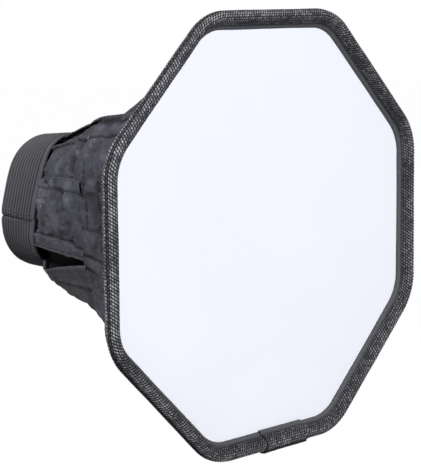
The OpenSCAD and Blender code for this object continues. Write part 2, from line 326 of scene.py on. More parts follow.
def walled(rows, cols, wrap):
    """Quads of a sheet whose second face follows its first one in the list of points: the
    first face, the second one turned over, and a strip between them round each edge."""
    number = np.arange(rows * cols).reshape(rows, cols)
    first = quads(rows, cols, wrap_cols=wrap)
    if wrap:
        rings = [np.append(number[0], number[0, 0]), np.append(number[-1], number[-1, 0])[::-1]]
    else:
        rings = [np.concatenate([number[0], number[1:, -1], number[-1, -2::-1],
                                 number[-2::-1, 0]])]
    strips = [np.stack([ring[1:], ring[:-1], ring[:-1] + number.size, ring[1:] + number.size], 1)
              for ring in rings]
    return np.concatenate([first, first[:, ::-1] + number.size, *strips])


def sheet_piece(name, grid, uv, tone, finish, thickness, wrap=False):
    """A cloth piece from a grid of points on its outer face. Its inner face lies a thickness
    behind, and is part of the mesh."""
    rows, cols = grid.shape[:2]
    points = np.stack([grid, grid - normals(grid, wrap) * thickness])
    doubled = None if tone is None else np.stack([tone, tone])
    return new_piece(name, points, walled(rows, cols, wrap), finish, np.stack([uv, uv]), doubled)


def cut_cloth(grid, wrap=False):
    """Closes a piece's grid round if it wraps, and does nothing more with it."""
    if wrap:
        grid = np.concatenate([grid, grid[:, :1]], 1)


class Surface:
    """A grid of points that can be read between its points."""

    def __init__(self, grid, wrap=False):
        if wrap:
            grid = np.concatenate([grid, grid[:, :1]], 1)
        self.grid = grid
        self.normal = normals(grid)

    def at(self, row, col):
        """Point and normal at places given as shares of the rows and columns: the four grid
        points round each place, mixed by how near they are."""
        rows, cols = self.grid.shape[:2]
        r = np.clip(np.asarray(row, float), 0, 1) * (rows - 1)
        c = np.clip(np.asarray(col, float), 0, 1) * (cols - 1)
        i = np.minimum(r.astype(int), rows - 2)
        j = np.minimum(c.astype(int), cols - 2)
        a, b = (r - i)[..., None], (c - j)[..., None]
        found = []
        for table in (self.grid, self.normal):
            found.append(
                (1 - a) * ((1 - b) * table[i, j] + b * table[i, j + 1])
                + a * ((1 - b) * table[i + 1, j] + b * table[i + 1, j + 1]))
        return found


STITCH_GAP = 0.24       # share of the pitch between two stitches


def stitches_on(surface, rows, cols, pitch, wide=0.55, high=0.28, sink=0.04):
    """Stitches along a line on a surface: each one is a loaf, half an ellipse across, which
    rises from the cloth at its two ends. Returns their points and faces."""
    point, normal = surface.at(rows, cols)
    step = np.linalg.norm(np.diff(point, axis=0), axis=1)
    run = np.concatenate([[0], np.cumsum(step)])
    count = max(int(run[-1] / pitch), 1)
    nth = np.arange(count)[:, None] + np.linspace(STITCH_GAP / 2, 1 - STITCH_GAP / 2, 5)
    places = nth * run[-1] / count
    share = np.interp(places, run, np.linspace(0, 1, len(run)))
    index = np.linspace(0, 1, len(run))
    row, col = np.interp(share, index, rows), np.interp(share, index, cols)
    point, normal = surface.at(row, col)
    ahead = np.gradient(point, axis=1)
    ahead /= np.maximum(np.linalg.norm(ahead, axis=-1, keepdims=True), 1e-9)
    side = np.cross(normal, ahead)
    fat = np.array([0.15, 0.85, 1, 0.85, 0.15])[None, :, None]
    ring = np.radians(np.arange(0, 360, 60))
    body = (point[:, :, None, :]
            + side[:, :, None, :] * (fat * wide / 2 * np.cos(ring))[..., None]
            + normal[:, :, None, :] * (fat * high * np.sin(ring) - sink + 0.1)[..., None])
    tube = quads(5, 6, wrap_cols=True)
    ends = np.array([[0, 1, 2, 3], [0, 3, 4, 5], [27, 26, 25, 24], [29, 28, 27, 24]])
    faces = np.concatenate([tube[:, ::-1], ends])
    offset = (np.arange(count) * 30)[:, None, None]
    return body.reshape(-1, 3), (faces[None] + offset).reshape(-1, 4)


def joined(parts):
    """Points and faces of several parts as one."""
    points, faces, first = [], [], 0
    for some, corners in parts:
        points.append(some)
        faces.append(np.asarray(corners) + first)
        first += len(some)
    return np.concatenate(points), np.concatenate(faces)


def stitch_piece(name, lines):
    """One mesh of all the stitches on a piece, from the lines that stitches_on() gave."""
    points, faces = joined(lines)
    return new_piece(name, points, faces, "thread")


# ---- shader maths ----

class Value:
    """A socket that can stand in a sum: each operator adds its Math node."""

    def __init__(self, tree, socket):
        self.tree, self.socket = tree, socket

    def math(self, operation, *others):
        """Adds a Math node whose first value is this one."""
        made = self.tree.nodes.new("ShaderNodeMath")
        made.operation = operation
        for place, item in zip(made.inputs, (self, *others)):
            join(self.tree, item, place)
        return Value(self.tree, made.outputs[0])

    def swapped(self, operation, first):
        """Adds a Math node whose first value is a number and whose second one is this."""
        made = self.tree.nodes.new("ShaderNodeMath")
        made.operation = operation
        made.inputs[0].default_value = first
        join(self.tree, self, made.inputs[1])
        return Value(self.tree, made.outputs[0])

    def __add__(self, other):
        return self.math("ADD", other)

    def __sub__(self, other):
        return self.math("SUBTRACT", other)

    def __rsub__(self, other):
        return self.swapped("SUBTRACT", other)

    def __mul__(self, other):
        return self.math("MULTIPLY", other)

    def __truediv__(self, other):
        return self.math("DIVIDE", other)

    def __pow__(self, other):
        return self.math("POWER", other)

    __radd__ = __add__
    __rmul__ = __mul__

    def sine(self):
        """Sine of the value in radians."""
        return self.math("SINE")

    def size(self):
        """The value without its sign."""
        return self.math("ABSOLUTE")

    def floor(self):
        """The whole number at or below the value."""
        return self.math("FLOOR")

    def part(self):
        """What is left of the value above its floor."""
        return self.math("FRACT")

    def rest(self, other):
        """What is left after whole multiples of the other value."""
        return self.math("FLOORED_MODULO", other)

    def at_least(self, other):
        """The larger of the two values."""
        return self.math("MAXIMUM", other)

    def kept(self):
        """The value held between 0 and 1."""
        return self.math("MAXIMUM", 0.0).math("MINIMUM", 1.0)

    def step(self, low, high):
        """0 below low and 1 above high, with a soft step between."""
        made = self.tree.nodes.new("ShaderNodeMapRange")
        made.interpolation_type = "SMOOTHSTEP"
        join(self.tree, self, made.inputs["Value"])
        made.inputs["From Min"].default_value = low
        made.inputs["From Max"].default_value = high
        return Value(self.tree, made.outputs[0])


def join(tree, item, place):
    """Sets a socket to a value, or links one to it."""
    if isinstance(item, Value):
        tree.links.new(item.socket, place)
    else:
        place.default_value = item


class Finish:
    """The nodes of a material or of the world under construction."""

    def __init__(self, owner):
        self.owner = owner
        owner.use_nodes = True
        self.tree = owner.node_tree
        self.tree.nodes.clear()

    def node(self, kind, sockets=None, out=0, **settings):
        """Adds a node: its settings first, then the values or links of its sockets."""
        made = self.tree.nodes.new(kind)
        for name, value in settings.items():
            setattr(made, name, value)
        for name, value in (sockets or {}).items():
            join(self.tree, value, made.inputs[name])
        return Value(self.tree, made.outputs[out])

    def place(self):
        """Place in the object, in metres."""
        return self.node("ShaderNodeTexCoord", out="Object")

    def cloth(self):
        """Place on the flat cloth in millimetres: along and across."""
        flat = self.node("ShaderNodeUVMap", uv_map="cloth")
        return (self.node("ShaderNodeSeparateXYZ", {"Vector": flat}, out=0),
                self.node("ShaderNodeSeparateXYZ", {"Vector": flat}, out=1))

    def noise(self, scale, detail=2.0, rough=0.5, vector=None, **more):
        """Noise at so many cells per metre, or per millimetre of flat cloth."""
        sockets = {"Vector": vector or self.place(), "Scale": scale, "Detail": detail,
                   "Roughness": rough}
        return self.node("ShaderNodeTexNoise", {**sockets, **more})

    def mix(self, share, first, second):
        """Colour that goes from the first to the second with the share."""
        return self.node("ShaderNodeMix", {0: share, 6: first, 7: second}, out=2,
                         data_type="RGBA")

    def bump(self, height, distance, strength=1.0, normal=None):
        """Normal roughened by a height; distance is in millimetres per unit."""
        sockets = {"Height": height, "Distance": distance / 1000, "Strength": strength}
        if normal is not None:
            sockets["Normal"] = normal
        return self.node("ShaderNodeBump", sockets)

    def seen(self):
        """1 for what the camera or a clear cloth sees and a tenth for a gloss, so that they
        all show the white backdrop and the light on the object stays as it is."""
        camera, glossy, through = (self.node("ShaderNodeLightPath", out=f"Is {kind} Ray")
                                   for kind in ("Camera", "Glossy", "Transmission"))
        return camera.at_least(glossy * 0.1).at_least(through)

    def shown_as(self, surface, kind="Material"):
        """Ends in an output node and returns the material or world."""
        out = self.tree.nodes.new("ShaderNodeOutput" + kind)
        join(self.tree, surface, out.inputs["Surface"])
        return self.owner

    def done(self, **sockets):
        """Ends in a Principled shader and returns the material."""
        named = {name.replace("_", " "): value for name, value in sockets.items()}
        return self.shown_as(self.node("ShaderNodeBsdfPrincipled", named))


def finish_of(name):
    """A new material for a finish; the frame has plain ones of the slots' own names."""
    return Finish(bpy.data.materials.new(name + "_finish"))


def shade(rgba, times):
    """A colour made lighter or darker."""
    return tuple(min(part * times, 1) for part in rgba[:3]) + (1,)


# ---- materials ----

def cloth_finish(name, base, weave=0.42):
    """Coated nylon: a fine square weave, patches of wear and a dull sheen, with painted light
    and shade from each point's 'rise': paler as a painted highlight, darker as painted shade.
    """
    f = finish_of(name)
    along, across = f.cloth()
    threads = ((along * (2 * math.pi / weave)).sine().size()
               + (across * (2 * math.pi / weave)).sine().size()) / 2
    patches = f.noise(85, 5, 0.62)
    scuffs = f.noise(420, 3, 0.65)
    light = (patches * 0.66 + scuffs * 0.34).step(0.36, 0.64)
    # 'rise' holds painted light and shade: above 0 the cloth is painted paler as a highlight, below
    # 0 it is painted darker as shade.
    seam = f.node("ShaderNodeAttribute", out="Fac", attribute_name="rise")
    tone = f.mix(light, shade(base, 0.45), shade(base, 1.6))
    tone = f.mix(threads * 0.3, tone, shade(base, 0.6))
    tone = f.mix(seam.kept(), tone, shade(base, 1.9))
    tone = f.mix((0.0 - seam).kept(), tone, shade(base, 0.1))
    normal = f.bump(threads, 0.05, 0.55)
    normal = f.bump(scuffs, 0.8, 0.8, normal)
    return f.done(Base_Color=tone, Roughness=patches * 0.22 + 0.34, Normal=normal,
                  Specular_IOR_Level=0.3)


def black_cloth():
    """The cone's outer cloth."""
    return cloth_finish("black_cloth", colours("cloth"))


def cuff_cloth():
    """The same cloth on the cuffs, a little darker."""
    return cloth_finish("cuff_cloth", shade(colours("cloth"), 0.8))


def sleeve_cloth():
    """Thin cloth of the sleeve round the wire: creased nylon."""
    f = finish_of("sleeve_cloth")
    creases = f.noise(300, 4, 0.6)
    tone = f.mix(creases.step(0.35, 0.65), shade(colours("cloth"), 0.6), colours("cloth"))
    return f.done(Base_Color=tone, Roughness=0.6, Normal=f.bump(creases, 0.2, 0.6))


def gusset_cloth():
    """Dull black knit: small loops and hardly any shine, painted near black as the shade of
    the slits.
    """
    f = finish_of("gusset_cloth")
    loops = f.node("ShaderNodeTexVoronoi", {"Vector": f.place(), "Scale": 1400.0})
    base = colours("gusset")
    tone = f.mix(loops.step(0.1, 0.7), shade(base, 0.6), shade(base, 1.4))
    return f.done(Base_Color=tone, Roughness=0.9, Normal=f.bump(loops, 0.1, 0.6),
                  Specular_IOR_Level=0.2)


def rim_tape():
    """Coarse woven tape. Slanting floats lie in rows across it, each row half a float on from
    the last, over a dark ground. A ribbed selvage lies along the face. The floats are painted
    palest round the fold and half as pale on the front leg, as painted light, and the stitched
    groove outside it is painted dark, as painted shade."""
    f = finish_of("rim_tape")
    along, across = f.cloth()
    pitch = weave_pitch()
    row = (across / FLOAT_ROW).floor()
    fall = (across / FLOAT_ROW).part() - 0.5
    place = along / pitch + row.rest(2.0) * 0.5 + fall * 0.35
    aside = place.part() - 0.5
    lobe = (1.0 - aside * aside * (1 / 0.4 ** 2) - fall * fall * (1 / 0.5 ** 2)).kept() ** 0.6
    corner = f.node("ShaderNodeCombineXYZ", {"X": place.floor(), "Y": row})
    tint = f.node("ShaderNodeTexWhiteNoise", {"Vector": corner}, noise_dimensions="3D")
    fibre = f.noise(2600, 2, 0.5)
    patches = f.noise(60, 3, 0.6)
    body = across.step(2.3, 2.9)
    # Painted light: floats on the front leg are half as pale as round the fold's outer half.
    fold = across.step(4.5, 8.0) * 0.5 + 0.5
    # Painted shade: the stitched groove darkens the floats and the ground.
    sewn = across.step(TAPE_GROOVE - 1.1, TAPE_GROOVE - 0.6) - across.step(
        TAPE_GROOVE + 0.6, TAPE_GROOVE + 1.0)
    lit = (lobe * body * fold * (1.0 - sewn * 0.8) * (tint * 0.95 + 0.3)
           * (patches.step(0.3, 0.7) * 0.8 + 0.6))
    ribs = ((along * (4 * math.pi / pitch)).sine() * 0.5 + 0.5) * (1.0 - across.step(1.7, 2.1))
    tone = f.mix((lit + ribs * 0.3 + (1.0 - body) * 0.12).kept(), colours("tape"),
                 colours("tape_float"))
    tone = f.mix(fibre.step(0.4, 0.8) * 0.3, tone, shade(colours("tape"), 0.5))
    tone = f.mix(sewn * 0.6, tone, shade(colours("tape"), 0.25))
    normal = f.bump(lobe * body, 0.22, 0.7)
    normal = f.bump(fibre, 0.1, 0.4, normal)
    return f.done(Base_Color=tone, Roughness=0.82 - lit.kept() * 0.34, Normal=normal,
                  Specular_IOR_Level=0.16)


def ribbed_elastic():
    """Elastic webbing: fine cross threads over raised ribs, with painted shade between the
    ribs and a painted highlight on their tops.
    """
    f = finish_of("ribbed_elastic")
    along, _ = f.cloth()
    rise = f.node("ShaderNodeAttribute", out="Fac", attribute_name="rise")
    picks = (along * (2 * math.pi / 0.62)).sine() * 0.5 + 0.5
    fuzz = f.noise(1500, 3, 0.6)
    patches = f.noise(60, 3, 0.6)
    base = colours("strap")
    # Painted light and shade from the ribs' rise: dark between the ribs, pale on their tops.
    tone = f.mix(rise.kept(), shade(base, 0.16), shade(base, 1.6))
    tone = f.mix(picks * 0.3, tone, shade(base, 0.5))
    tone = f.mix(patches.step(0.35, 0.7) * 0.3, tone, shade(base, 1.2))
    normal = f.bump(picks, 0.09, 0.6)
    normal = f.bump(fuzz, 0.15, 0.4, normal)
    return f.done(Base_Color=tone, Roughness=0.8, Normal=normal, Specular_IOR_Level=0.1)


def narrow_tape():
    """Flat herringbone tape over a seam or round a strap's end."""
    f = finish_of("narrow_tape")
    along, across = f.cloth()
    slant = (across * (2 * math.pi / 2.4)).sine().size() * 1.3
    bars = ((along * (2 * math.pi / 0.9) + slant * 2.2).sine() * 0.5 + 0.5)
    fuzz = f.noise(1500, 2, 0.6)
    base = shade(colours("cloth"), 1.7)
    seam = f.node("ShaderNodeAttribute", out="Fac", attribute_name="rise")
    tone = f.mix(bars, shade(base, 0.8), shade(base, 1.12))
    # 'rise' holds painted light and shade: above 0 the tape is painted paler as a highlight, below
    # 0 it is painted darker as shade.
    tone = f.mix(seam.kept(), tone, shade(base, 1.5))
    tone = f.mix((0.0 - seam).kept(), tone, shade(base, 0.15))
    normal = f.bump(bars, 0.07, 0.5)
    normal = f.bump(fuzz, 0.1, 0.4, normal)
    return f.done(Base_Color=tone, Roughness=0.68, Normal=normal, Specular_IOR_Level=0.14)


def diffuser_cloth():
    """White nylon: a very fine weave, so even that it looks almost smooth."""
    f = finish_of("diffuser_cloth")
    along, across = f.cloth()
    weave = 0.35
    threads = ((along * (2 * math.pi / weave)).sine()
               * (across * (2 * math.pi / weave)).sine()) * 0.5 + 0.5
    patches = f.noise(16, 2, 0.5)
    base = colours("face")
    tone = f.mix(patches.step(0.35, 0.65), shade(base, 0.985), base)
    tone = f.mix(threads * 0.12, tone, shade(base, 0.95))
    normal = f.bump(threads, 0.02, 0.3)
    return f.done(Base_Color=tone, Roughness=0.62, Normal=normal, Specular_IOR_Level=0.3)


def silver_lining():
    """Metallised cloth: crinkled silver with a fine weave."""
    f = finish_of("silver_lining")
    crinkle = f.noise(240, 4, 0.62)
    fine = f.noise(1800, 2, 0.5)
    base = colours("silver")
    tone = f.mix(crinkle.step(0.35, 0.7), shade(base, 0.82), shade(base, 1.1))
    normal = f.bump(crinkle, 0.7, 0.6)
    normal = f.bump(fine, 0.06, 0.5, normal)
    return f.done(Base_Color=tone, Metallic=0.75, Roughness=fine * 0.14 + 0.3, Normal=normal)


def hook_and_loop():
    """A dense pile of tiny hooks and loops."""
    f = finish_of("hook_and_loop")
    pile = f.node("ShaderNodeTexVoronoi", {"Vector": f.place(), "Scale": 900.0})
    fuzz = f.noise(2400, 3, 0.7)
    base = colours("patch")
    tone = f.mix(fuzz.step(0.3, 0.75), shade(base, 0.5), shade(base, 1.7))
    normal = f.bump(pile, 0.5, 0.8)
    normal = f.bump(fuzz, 0.3, 0.7, normal)
    return f.done(Base_Color=tone, Roughness=0.95, Normal=normal, Specular_IOR_Level=0.2)


def thread():
    """Twisted sewing thread."""
    f = finish_of("thread")
    twist = f.noise(3000, 2, 0.5)
    base = colours("thread")
    tone = f.mix(twist, shade(base, 0.7), shade(base, 1.35))
    return f.done(Base_Color=tone, Roughness=0.5, Normal=f.bump(twist, 0.08, 0.5),
                  Specular_IOR_Level=0.5)


def spring_steel():
    """Drawn steel wire with faint lengthwise marks."""
    f = finish_of("spring_steel")
    marks = f.noise(900, 3, 0.6)
    tone = f.mix(marks, (0.36, 0.36, 0.37, 1), (0.58, 0.58, 0.6, 1))
    return f.done(Base_Color=tone, Metallic=1.0, Roughness=marks * 0.2 + 0.22,
                  Normal=f.bump(marks, 0.05, 0.3))


def stiffener_board():
    """Pressed grey fibre board."""
    f = finish_of("stiffener_board")
    fibre = f.noise(1100, 4, 0.65)
    tone = f.mix(fibre, (0.22, 0.21, 0.2, 1), (0.4, 0.39, 0.37, 1))
    return f.done(Base_Color=tone, Roughness=0.9, Normal=f.bump(fibre, 0.1, 0.6))


MATERIALS = {
    "black_cloth": black_cloth, "cuff_cloth": cuff_cloth, "gusset_cloth": gusset_cloth,
    "sleeve_cloth": sleeve_cloth, "rim_tape": rim_tape, "narrow_tape": narrow_tape,
    "ribbed_elastic": ribbed_elastic, "diffuser_cloth": diffuser_cloth,
    "silver_lining": silver_lining,
    "hook_and_loop": hook_and_loop, "thread": thread, "spring_steel": spring_steel,
    "stiffener_board": stiffener_board,
}


def material(name):
    """The material of that name, made when it is first asked for."""
    return bpy.data.materials.get(name + "_finish") or MATERIALS[name]()


# ---- what every piece rides on ----

def flattened(piece):
    """Reads how far the collapse joint pushes the rim back and gives a piece of the cone its
    own copy of its mesh; the cloth does not flatten."""
    s = sizes()
    travel = next(j for j in frame["joints"] if j["name"] == "collapse")["range_m"][1]
    1 - travel * 1000 / (s.skirt_front - s.flap_rear)
    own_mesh(piece)


def cone_part(piece, body="neck"):
    """Lets a part of the cone ride on its body, with its own copy of its mesh."""
    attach(piece, body)
    flattened(piece)


# ---- the octagon and the cone ----

def octagon_radius(angle, apothem, r):
    """Radius of an octagon with level flats and rounded corners in a direction: the flat's
    apothem over the cosine of the angle off its middle, or the corner's arc."""
    axis = (apothem - r) / cosd(22.5)
    off = np.abs((angle + 720) % 45 - 22.5)
    tangent = 22.5 - math.degrees(math.atan((apothem - r) * math.tan(math.pi / 8) / apothem))
    corner = axis * cosd(off) + np.sqrt(np.maximum(r ** 2 - (axis * sind(off)) ** 2, 0))
    return np.where(off < tangent, corner, apothem / cosd(22.5 - off))


def neck_radius(angle):
    """Radius of the neck's soft-cornered outline: a superellipse of the fourth power."""
    s = sizes()
    return ((np.abs(cosd(angle)) / s.neck_width) ** 4
            + (np.abs(sind(angle)) / s.neck_height) ** 4) ** -0.25


DRAW_WIDE, DRAW_NARROW, DRAW_LEAN = 1.28, 0.58, 0.014


def skirt_draw(own):
    """How much faster than a straight cone the skirt draws in: least on the two narrow
    panels, which lean a little, with a quick change past their hems to the wide ones."""
    off = (own + 90) % 180 - 90
    narrow = DRAW_NARROW + DRAW_LEAN * off
    return DRAW_WIDE + (narrow - DRAW_WIDE) * smooth(29, 21, np.abs(off))


def skirt_point(angle, share, d):
    """A point of the skirt: from the rim's octagon at share 0 the radius draws towards the
    neck's, and lies d below the outer face."""
    s = sizes()
    own = angle + s.turn
    rim = octagon_radius(angle, s.skirt_apothem, s.corner + SKIRT_OUT)
    draw = skirt_draw(own)
    depth = s.skirt / (s.depth - s.flap_rear)
    radius = rim + (neck_radius(own) - rim) * depth * draw * share - d
    z = s.skirt_front + (s.seam - s.skirt_front) * share
    return np.stack([radius * cosd(angle), radius * sind(angle), z + 0 * radius], -1)


FLAP_OUT = ("neck_width", "neck_height")    # of a narrow and of a wide flap, as below
FLAP_HALF = (22, 38.5)                      # half its width at the neck
FLAP_FRONT = (19.5, 69)                     # half its width at the seam, in degrees
FLAP_BOW = (BOW_RISE, 0)


def swell(side, across, along):
    """How far a flap swells out between seam and neck: a half sine wave that peaks nearer the
    neck, or on the loose bottom flap a rise all the way that ends at the strap's edge."""
    along = np.minimum(along, 1)
    if side == 3:
        return (3.6 + 9 * (1 - across ** 4)) * along ** 1.5 * (1 - along ** 40)
    if side == 1:
        return np.sin(np.pi * along) * (1 - across ** 2)
    return np.sin(np.pi * along) * (2 - 2 * across ** 2 - 1.8 * np.maximum(-across, 0) ** 2)


def flap_point(side, across, along, d):
    """A point of a flap: straight lines from the seam to the neck that swell outwards.
    across runs from -1 to 1 and along from 0 at the seam to 1."""
    s = sizes()
    kind, q = side % 2, 90 * side
    front = skirt_point(q + across * FLAP_FRONT[kind] - s.turn, 1 + 0 * along, d)
    out = getattr(s, FLAP_OUT[kind]) - d - FLAP_BOW[kind] * across ** 2
    rear = on_side(side, out, across * FLAP_HALF[kind], s.flap_rear + 0 * out)
    t = along[..., None]
    return front * (1 - t) + rear * t + outwards(q) * swell(side, across, along)[..., None]


# ---- wrinkles, in millimetres on the flat cloth ----

def hem_lines(side, along):
    """Where the two hems of a flap begin, as shares across it. On a narrow flap the first hem
    widens towards the skirt and the second one narrows a little."""
    if side % 2:
        return -0.86 + 0 * along, 0.86 + 0 * along
    return -np.minimum(0.765 + 0.25 * along, 0.96), 0.75 + 0.09 * smooth(0.42, 0.05, along)


def hem_profile(side, across, along):
    """Height of a flap's folded hems and their painted light and shade: a step up 0.5 mm past
    each hem line, a groove on the line and another near the edge, both painted dark as shade,
    and a pale lip between, painted as a highlight and as wear."""
    first, second = hem_lines(side, along)
    half = FLAP_HALF[side % 2]
    into = np.maximum(first - across, across - second) * half
    edge = (1 - np.abs(across)) * half
    step = 0.55 * smooth(-0.3, 0.5, into)
    seams = hump(into, -0.35, 0.42) + 0.7 * hump(edge, 1.2, 0.3) * (into > 1)
    # Painted highlight, with wear, on the hem's lip and at its very edge.
    lip = hump(into, 0.9, 0.5) * 0.35 + hump(edge, 0.2, 0.4) * 0.4
    return step - 0.45 * seams, lip - seams


def left_flap_folds(x, y):
    """Folds of the left flap: x runs from its top hem to its bottom one, y from seam to neck."""
    folds = (((-2, 64), (12, 46), 3.2, -1.5), ((-1, 68), (17, 60), 2.8, 1.1),
             ((3, 47), (13, 30), 4.4, 1.1), ((0, 28), (14, 8), 3.0, -1.1),
             ((1, 13), (10, 2), 3.6, 1.2), ((-17, 4), (-6, 12), 2.6, -1.2),
             ((-14, 15), (-6, 31), 4.2, 1.1), ((-13, 40), (-9, 52), 3.6, -0.8),
             ((-15, 58), (-9, 66), 4.0, 0.9), ((15, 34), (17, 14), 2.4, -0.5))
    return 1.9 * sum(crease(x, y, *fold) for fold in folds)


def flap_folds(side, x, y):
    """Folds of a flap: chosen ones on the left flap, gentle cross folds on the others, and an
    uneven crumple that dies away at the neck."""
    fade = smooth(0, 9, y) * (0.3 + 0.7 * smooth(0, 6, FLAP_HALF[side % 2] - np.abs(x)))
    if side == 2:
        chosen = left_flap_folds(x, y)
    else:
        chosen = crumple(x, y, 46, 11 + side, 5) * (1.1 if side < 3 else 0.6)
    return (chosen + crumple(x, y, 17, 31 + side) * (0.6 if side % 2 else 1.35)) * fade


TUCK_ROWS = 7       # rows of a flap's grid that go on below the strap


def flap_grid(side, rows=None, cols=None, reach=1.0, d=0.0, folds=1.0, hem=True):
    """The outer face of a flap as a grid, with its hems and folds pushed out along the
    surface's own normal, each grid point's place on the flat cloth, and its painted light and
    shade."""
    kind = side % 2
    rows, cols = rows or 140, cols or (120 if kind == 0 else 170)
    along = np.linspace(0, 1, rows)[:, None] + np.zeros(cols)
    across = np.linspace(-reach, reach, cols)[None, :] + np.zeros((rows, 1))
    base = flap_point(side, across, along, d)
    x, y = across * FLAP_HALF[kind], along * flap_length()
    height = flap_folds(side, x, y) * folds
    # Painted light and shade: the folds' ridges are painted paler and their hollows darker.
    tone = height * 0.2
    if hem:
        # The hems add painted shade in their grooves and a painted highlight on their lips.
        rise, hem_light_and_shade = hem_profile(side, across, along)
        height, tone = height + rise, np.clip(tone + hem_light_and_shade, -1, 1)
    grid = base + outward(base) * height[..., None]
    tuck = np.linspace(0.8, 5.5, TUCK_ROWS)[:, None, None]
    tucked = grid[-1] - outwards(90 * side) * np.minimum(tuck, 1.2) - [0, 0, 1] * tuck
    uv = np.stack([x, y], -1)
    below = uv[-1] + [0, 1] * tuck
    return (np.concatenate([grid, tucked]), np.concatenate([uv, below]),
            np.concatenate([tone, np.tile(tone[-1:], (TUCK_ROWS, 1))]))


def flap_length():
    """Length of a flap's cloth from seam to neck."""
    return (sizes().seam - sizes().flap_rear) * 1.06


def outward(grid, wrap=False):
    """Unit normals of a cone's grid, turned to point away from its axis."""
    normal = normals(grid, wrap)
    way = (normal[..., :2] * grid[..., :2]).sum(-1)
    return normal * np.where(way.mean() < 0, -1, 1)


def facing_out(*layers):
    """A grid and what belongs to its points, flipped if its quads would face the axis."""
    grid = layers[0]
    if (normals(grid)[..., :2] * grid[..., :2]).sum(-1).mean() > 0:
        return layers
    return [layer[:, ::-1] for layer in layers]


# ---- the pieces ----

def build_flap(side):
    """One flap with its lining, hems and stitches."""
    name = SIDES[side]
    grid, uv, tone = flap_grid(side)
    surface = Surface(grid)
    steps = np.linspace(0.03, 0.94, 70)
    first, second = hem_lines(side, steps)
    half = FLAP_HALF[side % 2]
    lines = []
    for across in (first - 0.035, second + 0.035, np.full(70, -1 + 1.4 / half),
                   np.full(70, 1 - 1.4 / half)):
        lines.append(stitches_on(surface, steps, (across + 1) / 2, sizes().stitch))
    sewn = stitch_piece(f"flap_stitches_{name}", lines)
    flap = sheet_piece(f"flap_cloth_{name}", *facing_out(grid, uv, tone), "black_cloth", CLOTH_T)
    inner, inner_uv, _ = flap_grid(side, 48, 56, reach=0.86, d=LINING_IN, hem=False)
    lining = sheet_piece(f"flap_lining_{name}", *facing_out(inner, inner_uv), None,
                         "silver_lining", LINING_T)
    for piece, slot in ((flap, "black_cloth"), (sewn, "black_cloth"), (lining, "silver_lining")):
        cone_part(piece)
    cut_cloth(grid)
    cut_cloth(inner)
    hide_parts(f"flap_{name}")
    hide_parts(f"lining_{name}")


def build_gusset(side):
    """The black web in the slit between a flap and the next one round: it dips inwards in a
    soft fold between their edges, and runs on below the strap. Its near-black colour is
    painted shade."""
    following = (side + 1) % 4
    along = np.linspace(0, 1, 60)[:, None]
    first = flap_point(side, np.full((60, 1), 0.93), along, 1.4)
    second = flap_point(following, np.full((60, 1), -0.93), along, 1.4)
    share = np.linspace(0, 1, 17)[None, :, None]
    inward = -outwards(90 * side + 45)
    sag = 3.0 * np.sin(np.pi * share)
    grid = first * (1 - share) + second * share + inward * sag
    below = grid[-1] - [0, 0, 1] * np.linspace(1.5, 19, 12)[:, None, None]
    grid = np.concatenate([grid, below + inward * 0.6])
    reach = np.concatenate([along, np.linspace(1.02, 1.28, 12)[:, None]])
    uv = np.stack(np.broadcast_arrays(share[..., 0] * 12, reach * 66), -1)
    web = sheet_piece(f"gusset_web_{CORNERS[side]}", *facing_out(grid, uv), None,
                      "gusset_cloth", LINING_T)
    cone_part(web)
    cut_cloth(grid)
    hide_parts(f"gusset_{CORNERS[side]}")


def build_seam_tape(side):
    """The felled seam along a narrow flap: a tape about 4 mm wide, stitched along both edges,
    that drifts towards the first hem at the neck and narrows at its end on the skirt."""
    name = SIDES[side]
    rows, cols = 150, 19
    along = np.linspace(-0.055, 1, rows)[:, None] + np.zeros(cols)
    share = np.linspace(-1, 1, cols)[None, :] + np.zeros((rows, 1))
    wide = (0.085 + 0.02 * along) * np.sqrt(1 - (1 - smooth(-0.06, -0.045, along)) ** 2 * 0.5)
    across = -0.09 - 0.175 * along + share * wide
    base = flap_point(side, across, along, 0)
    x, y = across * FLAP_HALF[0], along * flap_length()
    lead = 0.15 * smooth(0.02, -0.02, along)
    off = np.abs(share)
    puff = lead + 0.6 - 0.35 * hump(off, 0.78, 0.1) - 0.35 * smooth(0.9, 1, off)
    grid = base + outward(base) * (flap_folds(side, x, y) + puff)[..., None]
    # Painted light and shade: a pale line along each edge as a painted highlight, and a dark one in
    # each stitched groove as painted shade.
    tone = 0.5 * hump(off, 0.95, 0.08) - hump(off, 0.78, 0.08)
    surface = Surface(grid)
    steps = np.linspace(0.01, 0.99, 50)
    lines = [stitches_on(surface, steps, np.full(50, col), sizes().stitch)
             for col in (0.11, 0.89)]
    tape = sheet_piece(f"felled_seam_{name}", *facing_out(grid, np.stack([y, x], -1), tone),
                       "narrow_tape", 0.5)
    sewn = stitch_piece(f"felled_seam_stitches_{name}", lines)
    for piece in (tape, sewn):
        cone_part(piece)
    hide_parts(f"seam_tape_{name}")


